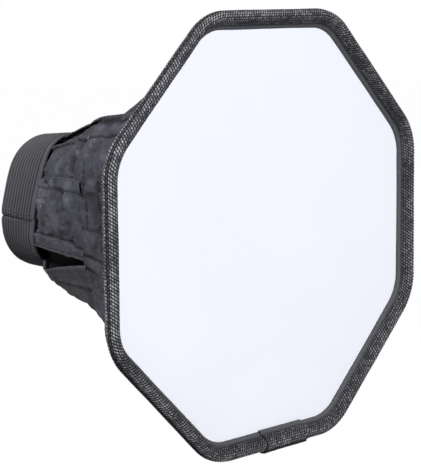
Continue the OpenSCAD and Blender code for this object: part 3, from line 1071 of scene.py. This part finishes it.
def skirt_marks(own, share):
    """Height and painted light and shade of what is sewn on the skirt: on both narrow panels the
    flap's hems run on to the rim, a tab continues the felled seam, and two cross rows and an
    end row of stitches hold a patch inside. The grooves, a recess and a slit are painted dark
    as shade, the hem band's edge is painted pale as a highlight, and the tab is paler."""
    panel = (own + 90) % 180 - 90
    deg = 1.35
    first, second = -16.6 + 1.2 * share, 18.0 + 0 * share
    band = smooth(0.2, -0.3, (panel - first) * deg) * smooth(-19.7, -19.3, panel)
    under = smooth(-0.2, 0.3, (panel - second) * deg) * smooth(21.3, 20.9, panel)
    seams = hump((panel - first) * deg, 0.25, 0.55) + hump((panel - second) * deg, -0.25, 0.55)
    recess = hump(panel, -21.2, 1.2) * smooth(0.15, 0.4, share)
    slit = hump(panel, 21.8, 0.8) * smooth(0.3, 0.6, share)
    rows = hump(share, 0.82, 0.024) * smooth(-12, -10, panel) * smooth(10.5, 10, panel)
    rows = rows + hump(share, 0.34, 0.024) * smooth(-5, -4.5, panel) * smooth(10.2, 9.7, panel)
    rows = rows + hump(panel * deg, 9.7 * deg, 0.55) * smooth(0.3, 0.34, share)
    tab = (smooth(-3.5, -3.2, panel) * smooth(-0.1, -0.4, panel)
           * smooth(0.38, 0.41, share) * smooth(0.75, 0.72, share))
    height = (0.5 * (band + under) - 0.4 * seams - 0.7 * recess - 0.6 * slit - 0.45 * rows
              + 0.6 * tab)
    # Painted light and shade: grooves of seams and rows, the recess and the slit are painted dark
    # as shade, and the hem band's edge pale as a highlight; the tab is paler.
    tone = (0.3 * tab + 0.25 * band * hump(panel, -19, 1.2) - seams - 0.9 * rows
            - 0.9 * recess - slit)
    return height, np.clip(tone, -1, 1)


def skirt_grid(d=0.0, rows=64, cols=760, folds=1.0):
    """The skirt's outer face as a grid with its gathers, what is sewn on it and its rear lip,
    which stands a little open above the loose bottom flap."""
    share = np.linspace(0, 1, rows)[:, None] + np.zeros(cols)
    angle = (np.arange(cols) * 360 / cols)[None, :] + np.zeros((rows, 1))
    base = skirt_point(angle, share, d)
    own = angle + sizes().turn
    x, y = angle * 1.35, share * sizes().skirt
    ends = smooth(0, 5, y) * smooth(28, 24, y)
    height = (crumple(x, y, 24, 71) * 0.85 + crumple(x, y * 0.35, 9, 72, 6) * 0.5) * ends
    lip = 0.5 * smooth(23.2, 24.0, y) - 0.3 * hump(y, 25.2, 0.35)
    # Painted shade in the groove along the rear seam and a painted highlight along the rear edge.
    tone = -0.7 * hump(y, 25.2, 0.35) + 0.4 * hump(y, 27.6, 0.5)
    narrow = smooth(23, 20, np.abs((own + 90) % 180 - 90))
    marks, mark_light_and_shade = skirt_marks(own, share)
    loose = smooth(201, 208, own) * smooth(340, 325, own) * smooth(0.5, 1, share) * 1.3
    height = height * folds + lip * (1 - narrow) + (marks + loose) * folds
    grid = base + outward(base, True) * height[..., None]
    # The height is painted in too: raised cloth lighter and sunken cloth darker, as painted light
    # and shade.
    tone = tone * (1 - narrow) + mark_light_and_shade + height * 0.15
    return grid, np.stack([x, y], -1), np.clip(tone, -1, 1)


def skirt_seams(surface):
    """Stitches of the skirt: two rows along its rear seam over each wide panel, and on each
    narrow panel two cross rows and an end row that hold a patch inside."""
    turn, pitch = sizes().turn, sizes().stitch
    lines = [stitches_on(surface, np.full(400, row / 28),
                         (np.linspace(low, low + 136, 400) - turn) / 360, pitch)
             for row in (25.2, 27.2) for low in (22, 202)]
    for middle in (0, 180):
        for share, low, high in ((0.82, -11, 10), (0.34, -4.5, 10)):
            place = (middle + np.linspace(low, high, 60) - turn) % 360 / 360
            lines.append(stitches_on(surface, np.full(60, share), place, pitch))
        place = np.full(40, ((middle + 9.7 - turn) % 360) / 360)
        lines.append(stitches_on(surface, np.linspace(0.34, 0.98, 40), place, pitch))
    return lines


def build_skirt():
    """The skirt, its silver lining and its stitches."""
    grid, uv, tone = skirt_grid()
    sewn = stitch_piece("skirt_stitches", skirt_seams(Surface(grid, wrap=True)))
    inner, inner_uv, _ = skirt_grid(LINING_IN, 24, 300, 0.4)
    skirt = sheet_piece("skirt_cloth", *facing_out(grid, uv, tone), "black_cloth", CLOTH_T,
                        wrap=True)
    lining = sheet_piece("skirt_silver", *facing_out(inner, inner_uv), None, "silver_lining",
                         LINING_T, wrap=True)
    for piece, slot in ((skirt, "black_cloth"), (sewn, "black_cloth"), (lining, "silver_lining")):
        cone_part(piece, "front")
    cut_cloth(grid, True)
    cut_cloth(inner, True)
    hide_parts("front_skirt")
    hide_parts("skirt_lining")


def ray(angle):
    """Unit vector at an angle in radians."""
    return np.stack([np.cos(angle), np.sin(angle)], -1)


def tangent_angle(point, centre, r, turn):
    """Where a line from the point touches a circle: the angle of the point plus or minus the
    arc cosine of the radius over the distance."""
    away = point - centre
    return math.atan2(away[1], away[0]) + turn * math.acos(r / np.hypot(*away))


def tape_outline(d, fine):
    """Outer face of the rim tape's section as a line, its outward directions and the length
    along it: a front leg up from the white face, an arc round the wire, a rear leg back to
    the stitched crease and a free edge that lies on the skirt, all d proud."""
    s = sizes()
    centre = np.array([s.wire_u, s.wire_z])
    front = np.array([s.corner - 0.1, s.depth + 0.75])
    crease_at = np.array([s.corner + 3.0, s.depth - 0.25])
    a = tangent_angle(front, centre, FOLD_R, -1) + 2 * math.pi
    b = tangent_angle(crease_at, centre, FOLD_R, 1)
    arc = centre + (FOLD_R + d) * ray(np.linspace(a, b, 15))
    edge = crease_at + np.array([d + 0.35, -3.45])
    path = np.concatenate([[front + d * ray(a)], arc, [crease_at + d * ray(b)], [edge]])
    step = np.linalg.norm(np.diff(path, axis=0), axis=1)
    run = np.concatenate([[0], np.cumsum(step)])
    places = np.linspace(0, run[-1], fine)
    outer = np.stack([np.interp(places, run, path[:, k]) for k in (0, 1)], 1)
    outer[1:-1] = (outer[:-2] + 2 * outer[1:-1] + outer[2:]) / 4
    slope = np.gradient(outer, axis=0)
    out = np.stack([-slope[:, 1], slope[:, 0]], 1)
    out /= np.linalg.norm(out, axis=1, keepdims=True)
    return outer, out * np.sign(((outer - centre) * out).sum(1).mean()), places


def weave_pitch():
    """Spacing of the floats along the tape, so that a whole even number goes round."""
    return rim_perimeter() / (2 * round(rim_perimeter() / sizes().weave / 2))


def weave_rise(u, v, pitch):
    """Height from 0 to 1 of the tape's floats: rows of slanting half ellipses, each row half
    a float on from the last."""
    row = np.floor(v / FLOAT_ROW)
    fall = v / FLOAT_ROW - row - 0.5
    aside = (u / pitch + (row % 2) * 0.5 + fall * 0.35) % 1 - 0.5
    return np.clip(1 - (aside / 0.42) ** 2 - (fall / 0.52) ** 2, 0, 1) ** 0.5


def rim_stations(start, end, count):
    """Stations round the octagon between two distances along the wire: for each one the side
    it is on, how far along its flat and how far round its bend."""
    s = sizes()
    half = s.bend * math.tan(math.pi / 8)
    arc = s.wire_u * math.pi / 4
    p = np.linspace(start, end, count)
    side = np.floor(p / (2 * half + arc))
    rest = p - side * (2 * half + arc)
    flat = np.minimum(rest, 2 * half) - half
    bend = np.degrees(np.maximum(rest - 2 * half, 0) / s.wire_u)
    return p, side, flat, bend


def rim_perimeter():
    """Length of the wire's path."""
    s = sizes()
    return 8 * (2 * s.bend * math.tan(math.pi / 8) + s.wire_u * math.pi / 4)


def swept(section, side, flat, bend):
    """Carries section points (out from the bends' axes, up the axis) to stations."""
    s = sizes()
    u, z = section[..., 0], section[..., 1]
    x = s.bend + u * cosd(bend)[:, None]
    y = flat[:, None] + u * sind(bend)[:, None]
    turn = (45 * side)[:, None]
    return np.stack([x * cosd(turn) - y * sind(turn), x * sind(turn) + y * cosd(turn), z], -1)


def tape_sheet(name, start, end, count, d, t, closed):
    """A stretch of the rim tape with its weave raised in the mesh. Returns the piece, its
    outer face and the length across it."""
    fine = 46
    outer, out, run = tape_outline(d, fine)
    p, side, flat, bend = rim_stations(start, end, count)
    pitch = weave_pitch()
    rise = weave_rise(p[:, None], run[None, :], pitch) * smooth(2.2, 2.8, run)
    beads = (0.5 + 0.5 * np.cos(2 * np.pi * p / pitch)[:, None]) * (
        0.7 + 0.3 * np.cos(np.pi * p / pitch)[:, None])
    last = smooth(run[-1] - 1.5, run[-1] - 1.0, run)[None, :]
    rise = rise * (1 - last) + 0.6 * beads * last
    sunk = 0.5 * hump(run, 2.3, 0.45) + 0.55 * hump(run, TAPE_GROOVE, 0.7)
    wobble = 0.28 * np.sin(p / 23.0 + 1.3) + 0.2 * np.sin(p / 7.1) + 0.12 * np.sin(p / 3.3)
    lift = 0.34 * rise - sunk[None, :] + 0.2 * wobble[:, None]
    face = outer[None] + out[None] * lift[..., None]
    back = outer[::-4][None] - out[::-4][None] * t + np.zeros((count, 1, 1))
    grid = swept(np.concatenate([face, back], 1), side, flat, bend)
    cols = grid.shape[1]
    faces = quads(count, cols, wrap_rows=closed, wrap_cols=True)
    if not closed:
        caps = [list(range(cols)), list(range((count - 1) * cols, count * cols))[::-1]]
        faces = faces.tolist() + caps
    across = np.concatenate([run, run[::-4]])
    uv = np.stack(np.broadcast_arrays(p[:, None], across[None, :]), -1)
    return new_piece(name, grid, faces, "rim_tape", uv), grid[:, :fine], run


def build_rim():
    """The rim's tape with its weave, and the row of stitches near its inner edge."""
    perimeter = rim_perimeter()
    count = 3 * round(perimeter / weave_pitch())
    tape, face, run = tape_sheet("rim_tape_ring", 0, perimeter * (1 - 1 / count), count, 0,
                                 TAPE_T, True)
    surface = Surface(np.concatenate([face, face[:1]]))
    sewn = stitch_piece("rim_stitches", [
        stitches_on(surface, np.linspace(0, 1, 900), np.full(900, place / run[-1]),
                    sizes().stitch, 0.45, 0.22, -0.02) for place in (2.3, TAPE_GROOVE)])
    for piece in (tape, sewn):
        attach(piece, "front")
    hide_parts("rim_binding")


def build_lap():
    """The tape's lapped end on the bottom flat, a little proud of the tape below it."""
    s = sizes()
    half = s.bend * math.tan(math.pi / 8)
    one = 2 * half + s.wire_u * math.pi / 4
    middle = 6 * one + half
    lap, _, _ = tape_sheet("rim_tape_lap", middle - LAP_BEHIND, middle + LAP_AHEAD, 64, 0.95,
                           TAPE_T, False)
    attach(lap, "front")
    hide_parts("binding_end")


def build_diffuser():
    """The white face: rings of the octagon from the middle out, drawn tight with a slight
    crown and faint pulls at the corners."""
    s = sizes()
    rows, cols = 60, 240
    share = np.linspace(0.002, 1, rows)[:, None] + np.zeros(cols)
    angle = (np.arange(cols) * 360 / cols)[None, :] + np.zeros((rows, 1))
    radius = octagon_radius(angle, s.window + 2.2, s.corner + 2.2) * share
    x, y = radius * cosd(angle), radius * sind(angle)
    pulls = 0.16 * np.cos(np.radians(angle * 8)) * smooth(0.55, 0.97, share)
    crown = 0.35 * (1 - share ** 2) + 0.1 * crumple(x, y, 60, 5)
    z = s.depth + 0.25 + pulls * 0.6 + crown
    grid = np.stack([x, y, z], -1)
    faces = quads(rows, cols, wrap_cols=True).tolist() + [list(range(cols))[::-1]]
    piece = new_piece("diffuser_sheet", grid, faces, "diffuser_cloth", np.stack([x, y], -1))
    wall = piece.modifiers.new("wall", "SOLIDIFY")
    wall.thickness = 0.0003
    wall.offset = -1
    wall.use_even_offset = False
    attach(piece, "front")
    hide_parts("diffuser")


# ---- the strap ----

def strap_loop(r, right, left, squeeze):
    """The strap's closed outline in the neck's plane as points, directions outwards and
    lengths: bows on the two sides, arcs of radius r at the corners and straight runs. It is
    grown by right on the right and by left on the left, and drawn in all round by squeeze."""
    s = sizes()
    bow = s.strap_bow_r - squeeze
    v = s.neck_height + STRAP_OVER - squeeze - r
    u = s.bow_axis + math.sqrt((bow - r) ** 2 - v ** 2)
    lean = math.degrees(math.asin(v / (bow - r)))
    climb = math.degrees(math.asin((right - left) / (2 * u)))
    right_side = [((u, -v), r + right, -90 - climb, -lean),
                  ((s.bow_axis, 0), bow + right, -lean, lean),
                  ((u, v), r + right, lean, 90 + climb)]
    left_side = [((-u, v), r + left, 90 + climb, 180 - lean),
                 ((-s.bow_axis, 0), bow + left, 180 - lean, 180 + lean),
                 ((-u, -v), r + left, 180 + lean, 270 - climb)]
    again = [(c, size, a + 360, b + 360) for c, size, a, b in right_side]
    points, angles = [], []
    for centre, size, a, b in right_side + left_side + again:
        angle = np.linspace(a, b, max(int((b - a) / 1.5), 3))
        points.append(np.stack([centre[0] + size * cosd(angle), centre[1] + size * sind(angle)], 1))
        angles.append(angle)
    points, angles = np.concatenate(points), np.concatenate(angles)
    run = np.concatenate([[0], np.cumsum(np.linalg.norm(np.diff(points, axis=0), axis=1))])
    return points, angles, run


def strap_line(start, end, count, r, right, left, squeeze=0.0):
    """Evenly spaced stations of the strap's outline between two outward directions."""
    points, angles, run = strap_loop(r, right, left, squeeze)
    places = np.linspace(np.interp(start, angles, run), np.interp(end, angles, run), count)
    line = np.stack([np.interp(places, run, points[:, k]) for k in (0, 1)], 1)
    angle = np.interp(places, run, angles)
    return line, angle, places - places[0]


def bow_angle(v, grown=0.0):
    """Outward direction of the right-hand bow at height v, in degrees."""
    return math.degrees(math.asin(v / (sizes().strap_bow_r + grown)))


def webbing_rise(run, across, width, ribs):
    """Height from 0 to 1 of the webbing's lengthwise ribs: a full cosine wave for each one, or
    an even 0.4 without ribs, lower by a quarter at the two edges."""
    edge = np.minimum(across, width - across)
    wave = 0.5 + 0.5 * np.cos(2 * np.pi * (across / sizes().rib - 0.5)) if ribs else 0.4
    return (wave * (1 - 0.25 * (1 - smooth(0, 0.8, edge))))[None, :] + 0 * run[:, None]


def webbing_sway(run, across, start):
    """Unevenness of the webbing: a slow sine wave along it and a soft crumple."""
    return 0.25 * np.sin(run / 17.0 + start)[:, None] + 0.12 * crumple(
        run[:, None], across[None, :], 26, 7)


def webbing_face(rear, front, angle, depth, across, z0):
    """One face of the webbing: straight lines from its rear outline to its front one, moved
    outwards by the depth."""
    share = (across / sizes().strap)[None, :, None]
    out = np.stack([cosd(angle), sind(angle)], 1)
    line = rear[:, None] * (1 - share) + front[:, None] * share
    line = line + out[:, None] * depth[..., None]
    return turned(line[..., 0], line[..., 1], z0 + across[None, :] + 0 * depth)


def strap_piece(name, start, end, right, left, thick=STRAP_T, width=None, z0=1.0, ribs=True,
                dip=None, finish="ribbed_elastic", taper=1.0):
    """A length of webbing: the outline at its rear edge is rounder and smaller than at its
    front edge. The outer face has ribs, rolled edges and a groove behind the front lip. dip
    gives an extra depth along its length. Returns the piece and its outer face."""
    s = sizes()
    width = width or s.strap
    _, angles, run = strap_loop(STRAP_BEND, right, left, 0)
    long = np.interp(end, angles, run) - np.interp(start, angles, run)
    count = max(int(long / 0.9), 8)
    front, angle, run = strap_line(start, end, count, STRAP_BEND, right, left)
    rear, _, _ = strap_line(start, end, count, STRAP_BEND + REAR_ROUNDER * taper, right, left,
                            REAR_TIGHTER * taper)
    across = np.linspace(0, width, int(width / s.rib) * (7 if ribs else 2) + 1)
    back = across[::-1][::6]
    rise = webbing_rise(run, across, width, ribs)
    sway = webbing_sway(run, across, start) * taper
    sunk = dip(run)[:, None] if dip else 0 * run[:, None]
    roll = 0.55 * (1 - smooth(0, 0.8, np.minimum(across, width - across)))
    lip = 0.9 * hump(across, width - 2.3, 0.45) * taper
    back_roll = 0.3 * (1 - smooth(0, 0.9, np.minimum(back, width - back)))
    outer = webbing_face(rear, front, angle, 0.6 * rise - 0.5 - roll - lip + sway - sunk,
                         across, z0)
    inner = webbing_face(rear, front, angle, -thick + back_roll + sway[:, [0]] - sunk * 0.4,
                         back, z0)
    grid = np.concatenate([outer, inner], 1)
    rows, cols = grid.shape[:2]
    faces = quads(rows, cols, wrap_cols=True)[:, ::-1].tolist()
    faces += [list(range(cols)), list(range((rows - 1) * cols, rows * cols))[::-1]]
    # The ribs' rise goes to the material as 'rise', which paints shade between the ribs and a
    # highlight on their tops; the back gets an even 0.5.
    height = np.concatenate([rise, np.full((rows, len(back)), 0.5)], 1)
    flat = np.concatenate([across, back])
    uv = np.stack(np.broadcast_arrays(run[:, None], flat[None, :]), -1)
    return new_piece(name, grid, faces, finish, uv, height), outer


def neck_point(u, v, z=13.5):
    """A point given in the neck's own directions, in the row frame."""
    return tuple(placed(turned(np.array(float(u)), np.array(float(v)), np.array(float(z)))))


def under_the_lap(run):
    """How far the lower strap sinks where the top run lies on it."""
    return 1.05 * smooth(LAP_LENGTH + 0.4, LAP_LENGTH - 0.4, run)


def laid_down(run):
    """How far the top run's sewn end sinks on the lower strap, over its last 2.5 mm."""
    return 0.5 * smooth(run[-1] - 2.5, run[-1], run)


def build_strap_base():
    """The sewn-on length of the strap: down the left side, under the neck and up the right.
    It lies lower where the top run overlaps it, down to the bar of stitches."""
    base, _ = strap_piece("strap_lower", 180 - bow_angle(HINGE_V - 0.2), 360 + bow_angle(10),
                          0, 0, dip=under_the_lap)
    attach(base, "neck")
    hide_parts("strap_base")


def build_strap_top():
    """The strap's run over the top. Its left end is sewn on the lower strap with a bar of
    stitches."""
    grown = TAIL_IN + STRAP_T
    top, outer = strap_piece("strap_upper", bow_angle(BOW_HALF, grown), 180 + bow_angle(12.6),
                             grown, 0.3, thick=1.4, dip=laid_down)
    surface = Surface(outer)
    rows = outer.shape[0]
    bar = [stitches_on(surface, np.full(40, 1 - back / rows), np.linspace(0.03, 0.97, 40), 1.5,
                       0.6, 0.3) for back in (1.6, 3.4)]
    sewn = stitch_piece("strap_bar_stitches", bar)
    start, finish = neck_point(-48, 7), neck_point(-44, 17)
    for piece in (top, sewn):
        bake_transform(piece)
    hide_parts("strap_top_run")


def build_strap_tail():
    """The loose end of the strap with its hook patch and its folded grip."""
    grown = TAIL_IN + STRAP_T
    tail, _ = strap_piece("strap_end", bow_angle(-BOW_HALF, grown), bow_angle(BOW_HALF, grown),
                          grown, grown)
    hooks, _ = strap_piece("hook_patch_tape", bow_angle(-15, 2), bow_angle(9, 2), 2.0, 2.0,
                           thick=0.75, width=20, z0=3.5, ribs=False, finish="hook_and_loop",
                           taper=0.6)
    grip, face = strap_piece("grip_tab", -38, bow_angle(-11, grown), grown + 0.9, grown + 0.9,
                             thick=0.8, ribs=False, finish="narrow_tape")
    lower, _ = strap_piece("grip_tab_inner", -38, bow_angle(-17.2, grown), grown, grown,
                           thick=2.0, ribs=False, finish="narrow_tape")
    surface = Surface(face)
    rows = face.shape[0]
    box = [stitches_on(surface, np.full(30, 1 - back / rows), np.linspace(0.06, 0.94, 30), 2.2)
           for back in (1.8, 6.2)]
    sewn = stitch_piece("grip_stitches", box)
    start, finish = neck_point(54, 16), neck_point(54, 9)
    for piece in (tail, hooks, grip, lower, sewn):
        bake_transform(piece)
    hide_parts("strap_tail")
    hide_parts("hook_patch")
    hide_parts("pull_tab")


def build_loop_patch():
    """The loop half of the fastener, sewn on the strap's right side."""
    loops, _ = strap_piece("loop_patch_tape", bow_angle(-17), bow_angle(9.5), 0.9, 0.9,
                           thick=0.75, width=20, z0=3.5, ribs=False, finish="hook_and_loop",
                           taper=0.6)
    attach(loops, "neck")
    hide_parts("loop_patch")


# ---- cuffs ----

CUFF_HALF = (BOW_HALF, 34)      # half its width, of a narrow and of a wide cuff
CUFF_T = 2.3


def cuff_faces(side, rows, cols):
    """Outer and inner face of a cuff and the places on its flat cloth: a pad whose thickness
    falls off towards its edges as a superellipse, narrower to the rear, bowed on the two
    narrow sides, with grooves where it is stitched."""
    s = sizes()
    half, long = CUFF_HALF[side % 2], s.strap + 1.2
    a = np.linspace(-1, 1, rows)[:, None] + np.zeros(cols)
    b = np.linspace(-1, 1, cols)[None, :] + np.zeros((rows, 1))
    z = (a + 1) / 2 * long
    aside = b * half * (1 - 0.2 * (1 - z / long) ** 2)
    if side % 2:
        out = s.neck_height - CUFF_T / 2 + 0 * aside
    else:
        out = s.bow_axis + np.sqrt(s.bow_r ** 2 - aside ** 2) - CUFF_T / 2
    puff = CUFF_T / 2 * np.sqrt((1 - a ** 14) * (1 - b ** 16))
    grooves = 0.22 * hump(z, 2.4, 0.4) + 0.22 * hump(half - np.abs(aside), 2.2, 0.4)
    puff = puff - grooves * (puff > 0.5)
    return on_side(side, out + puff, aside, z), on_side(side, out - puff, aside, z), np.stack(
        [aside, z], -1)


def build_cuff(side):
    """A flap's reinforced end round its board: two faces that share their border's points,
    with a row of stitches along the rear edge."""
    rows, cols = 34, 80 if side % 2 else 48
    top, under, flat = cuff_faces(side, rows, cols)
    inside = np.zeros((rows, cols), bool)
    inside[1:-1, 1:-1] = True
    lower = np.arange(rows * cols).reshape(rows, cols)
    lower[inside] = rows * cols + np.arange(inside.sum())
    corners = quads(rows, cols)
    faces = np.concatenate([corners, lower.ravel()[corners][:, ::-1]])[:, ::-1]
    points = np.concatenate([top.reshape(-1, 3), under[inside]])
    cuff = new_piece(f"cuff_cover_{SIDES[side]}", points, faces, "cuff_cloth",
                     np.concatenate([flat.reshape(-1, 2), flat[inside]]))
    place = 2.4 / (sizes().strap + 1.2)
    sewn = stitch_piece(f"cuff_stitches_{SIDES[side]}", [stitches_on(
        Surface(top[:, ::-1]), np.full(50, place), np.linspace(0.06, 0.94, 50), sizes().stitch)])
    for piece in (cuff, sewn):
        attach(piece, "neck")
    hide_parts(f"cuff_{SIDES[side]}")


# ---- solids that stay ----

KEPT = {"rim_wire": "spring_steel", "wire_sleeve": "sleeve_cloth"}
KEPT.update({f"board_{side}": "stiffener_board" for side in SIDES})


def finish_solids():
    """Gives the solids that stay, all inside the cloth, their finishes."""
    for node, name in KEPT.items():
        mesh = frame["nodes"][node].data
        mesh.materials.clear()
        mesh.materials.append(material(name))


# ---- studio ----

WHITE = (1, 1, 1, 1)
FLOOR_DROP = 0.22       # metres below the softbox


def build_floor():
    """A pale floor well below the softbox, which hangs on its flash. It turns white where it
    is looked at and keeps the shadow that falls on it."""
    low, far = CAD_BOX[0].z - FLOOR_DROP, 6.0
    mesh = bpy.data.meshes.new("floor")
    mesh.from_pydata([(-far, -far, low), (far, -far, low), (far, far, low), (-far, far, low)],
                     [], [(0, 1, 2, 3)])
    f = finish_of("floor_paper")
    white = f.node("ShaderNodeEmission", {"Color": WHITE, "Strength": 1.03})
    paper = f.node("ShaderNodeBsdfDiffuse", {"Color": colours("floor")})
    mixed = f.node("ShaderNodeMixShader", {0: f.seen() * 0.96, 1: paper, 2: white})
    mesh.materials.append(f.shown_as(mixed))
    linked("floor", mesh)


def build_world():
    """Even light from all round, white where it is looked at."""
    world = bpy.data.worlds.new("studio")
    bpy.context.scene.world = world
    f = Finish(world)
    light = f.node("ShaderNodeBackground", {"Color": WHITE, "Strength": 0.13})
    white = f.node("ShaderNodeBackground", {"Color": WHITE, "Strength": 1.0})
    f.shown_as(f.node("ShaderNodeMixShader", {0: f.seen(), 1: light, 2: white}), "World")


def lamp(name, place, size, watts):
    """A square soft box of light at a place, turned to the softbox."""
    data = bpy.data.lights.new(name, "AREA")
    data.shape, data.size, data.energy = "SQUARE", size, watts
    made = linked(name, data)
    made.location = place
    made.rotation_mode = "QUATERNION"
    way = Vector((0, -0.06, 0)) - Vector(place)
    made.rotation_quaternion = way.to_track_quat("-Z", "Y")


def build_lamps():
    """A key lamp high on the left, beside the cone, and a fill lamp in front."""
    lamp("key", (-1.3, -0.08, 1.45), 0.36, 52)
    lamp("fill", (-0.35, -2.0, 0.7), 0.8, 38)


def build_camera():
    """The camera on the left of the softbox and a little above it."""
    azimuth, elevation, roll, away = -44.62, 8.107, -0.637, 0.6886
    aim = Vector((-0.01708, -0.1041, 0.00024))
    back = Vector((sind(azimuth) * cosd(elevation), -cosd(azimuth) * cosd(elevation),
                   sind(elevation)))
    data = bpy.data.cameras.new("camera")
    data.lens, data.sensor_width = 126.97, 36
    camera = linked("camera", data)
    camera.rotation_mode = "QUATERNION"
    tilt = Matrix.Rotation(math.radians(roll), 3, "Z").to_quaternion()
    camera.rotation_quaternion = (-back).to_track_quat("-Z", "Y") @ tilt
    camera.location = aim + back * away
    data.clip_start, data.clip_end = 0.01, 30
    bpy.context.scene.camera = camera


def build_stage():
    """Floor, world, lamps and camera."""
    bpy.context.scene.view_settings.view_transform = "Standard"
    build_floor()
    build_world()
    build_lamps()
    build_camera()


# ---- operators, panel and registration ----

class SOFTBOX_OT_stage(bpy.types.Operator):
    """Sets up the floor, the light and the camera"""
    bl_idname, bl_label = "softbox.stage", "Studio"

    def execute(self, context):
        build_stage()
        return {"FINISHED"}


class SOFTBOX_OT_rim(bpy.types.Operator):
    """Builds the woven tape round the rim with its lapped end"""
    bl_idname, bl_label = "softbox.rim", "Rim tape"

    def execute(self, context):
        build_rim()
        build_lap()
        return {"FINISHED"}


class SOFTBOX_OT_diffuser(bpy.types.Operator):
    """Builds the white face"""
    bl_idname, bl_label = "softbox.diffuser", "White face"

    def execute(self, context):
        build_diffuser()
        return {"FINISHED"}


class SOFTBOX_OT_skirt(bpy.types.Operator):
    """Builds the skirt behind the rim and its lining"""
    bl_idname, bl_label = "softbox.skirt", "Skirt"

    def execute(self, context):
        build_skirt()
        return {"FINISHED"}


class SOFTBOX_OT_flaps(bpy.types.Operator):
    """Builds the four flaps with their linings, the webs between them and the felled seams"""
    bl_idname, bl_label = "softbox.flaps", "Flaps"

    def execute(self, context):
        for side in range(4):
            build_flap(side)
            build_gusset(side)
        for side in (0, 2):
            build_seam_tape(side)
        return {"FINISHED"}


class SOFTBOX_OT_cuffs(bpy.types.Operator):
    """Builds the four stiffened cuffs"""
    bl_idname, bl_label = "softbox.cuffs", "Cuffs"

    def execute(self, context):
        for side in range(4):
            build_cuff(side)
        return {"FINISHED"}


class SOFTBOX_OT_strap(bpy.types.Operator):
    """Builds the ribbed strap with its patches and its grip"""
    bl_idname, bl_label = "softbox.strap", "Strap"

    def execute(self, context):
        build_strap_base()
        build_strap_top()
        build_strap_tail()
        build_loop_patch()
        return {"FINISHED"}


class SOFTBOX_OT_solids(bpy.types.Operator):
    """Finishes the wire, its sleeve and the boards"""
    bl_idname, bl_label = "softbox.solids", "Wire and boards"

    def execute(self, context):
        finish_solids()
        return {"FINISHED"}


OPERATORS = (SOFTBOX_OT_stage, SOFTBOX_OT_rim, SOFTBOX_OT_diffuser, SOFTBOX_OT_skirt,
             SOFTBOX_OT_flaps, SOFTBOX_OT_cuffs, SOFTBOX_OT_strap, SOFTBOX_OT_solids)


class SOFTBOX_PT_panel(bpy.types.Panel):
    """Lists the softbox's sizes, colours and pieces"""
    bl_label = "Flash softbox"
    bl_space_type, bl_region_type, bl_category = "VIEW_3D", "UI", "Softbox"

    def draw(self, context):
        for group in (context.scene.softbox_sizes, context.scene.softbox_colours):
            column = self.layout.column()
            for name in type(group).__annotations__:
                column.prop(group, name)
        for made in OPERATORS:
            self.layout.operator(made.bl_idname)


CLASSES = (SoftboxSizes, SoftboxColours, *OPERATORS, SOFTBOX_PT_panel)


def register():
    """Registers the classes and hangs the sizes and colours on the scene."""
    for made in CLASSES:
        bpy.utils.register_class(made)
    bpy.types.Scene.softbox_sizes = bpy.props.PointerProperty(type=SoftboxSizes)
    bpy.types.Scene.softbox_colours = bpy.props.PointerProperty(type=SoftboxColours)


def unregister():
    """Takes away what register() has made."""
    del bpy.types.Scene.softbox_colours
    del bpy.types.Scene.softbox_sizes
    for made in reversed(CLASSES):
        bpy.utils.unregister_class(made)


def main():
    """Registers the classes and builds everything."""
    register()
    for made in OPERATORS:
        group, name = made.bl_idname.split(".")
        getattr(getattr(bpy.ops, group), name)()


if __name__ == "__main__":
    main()
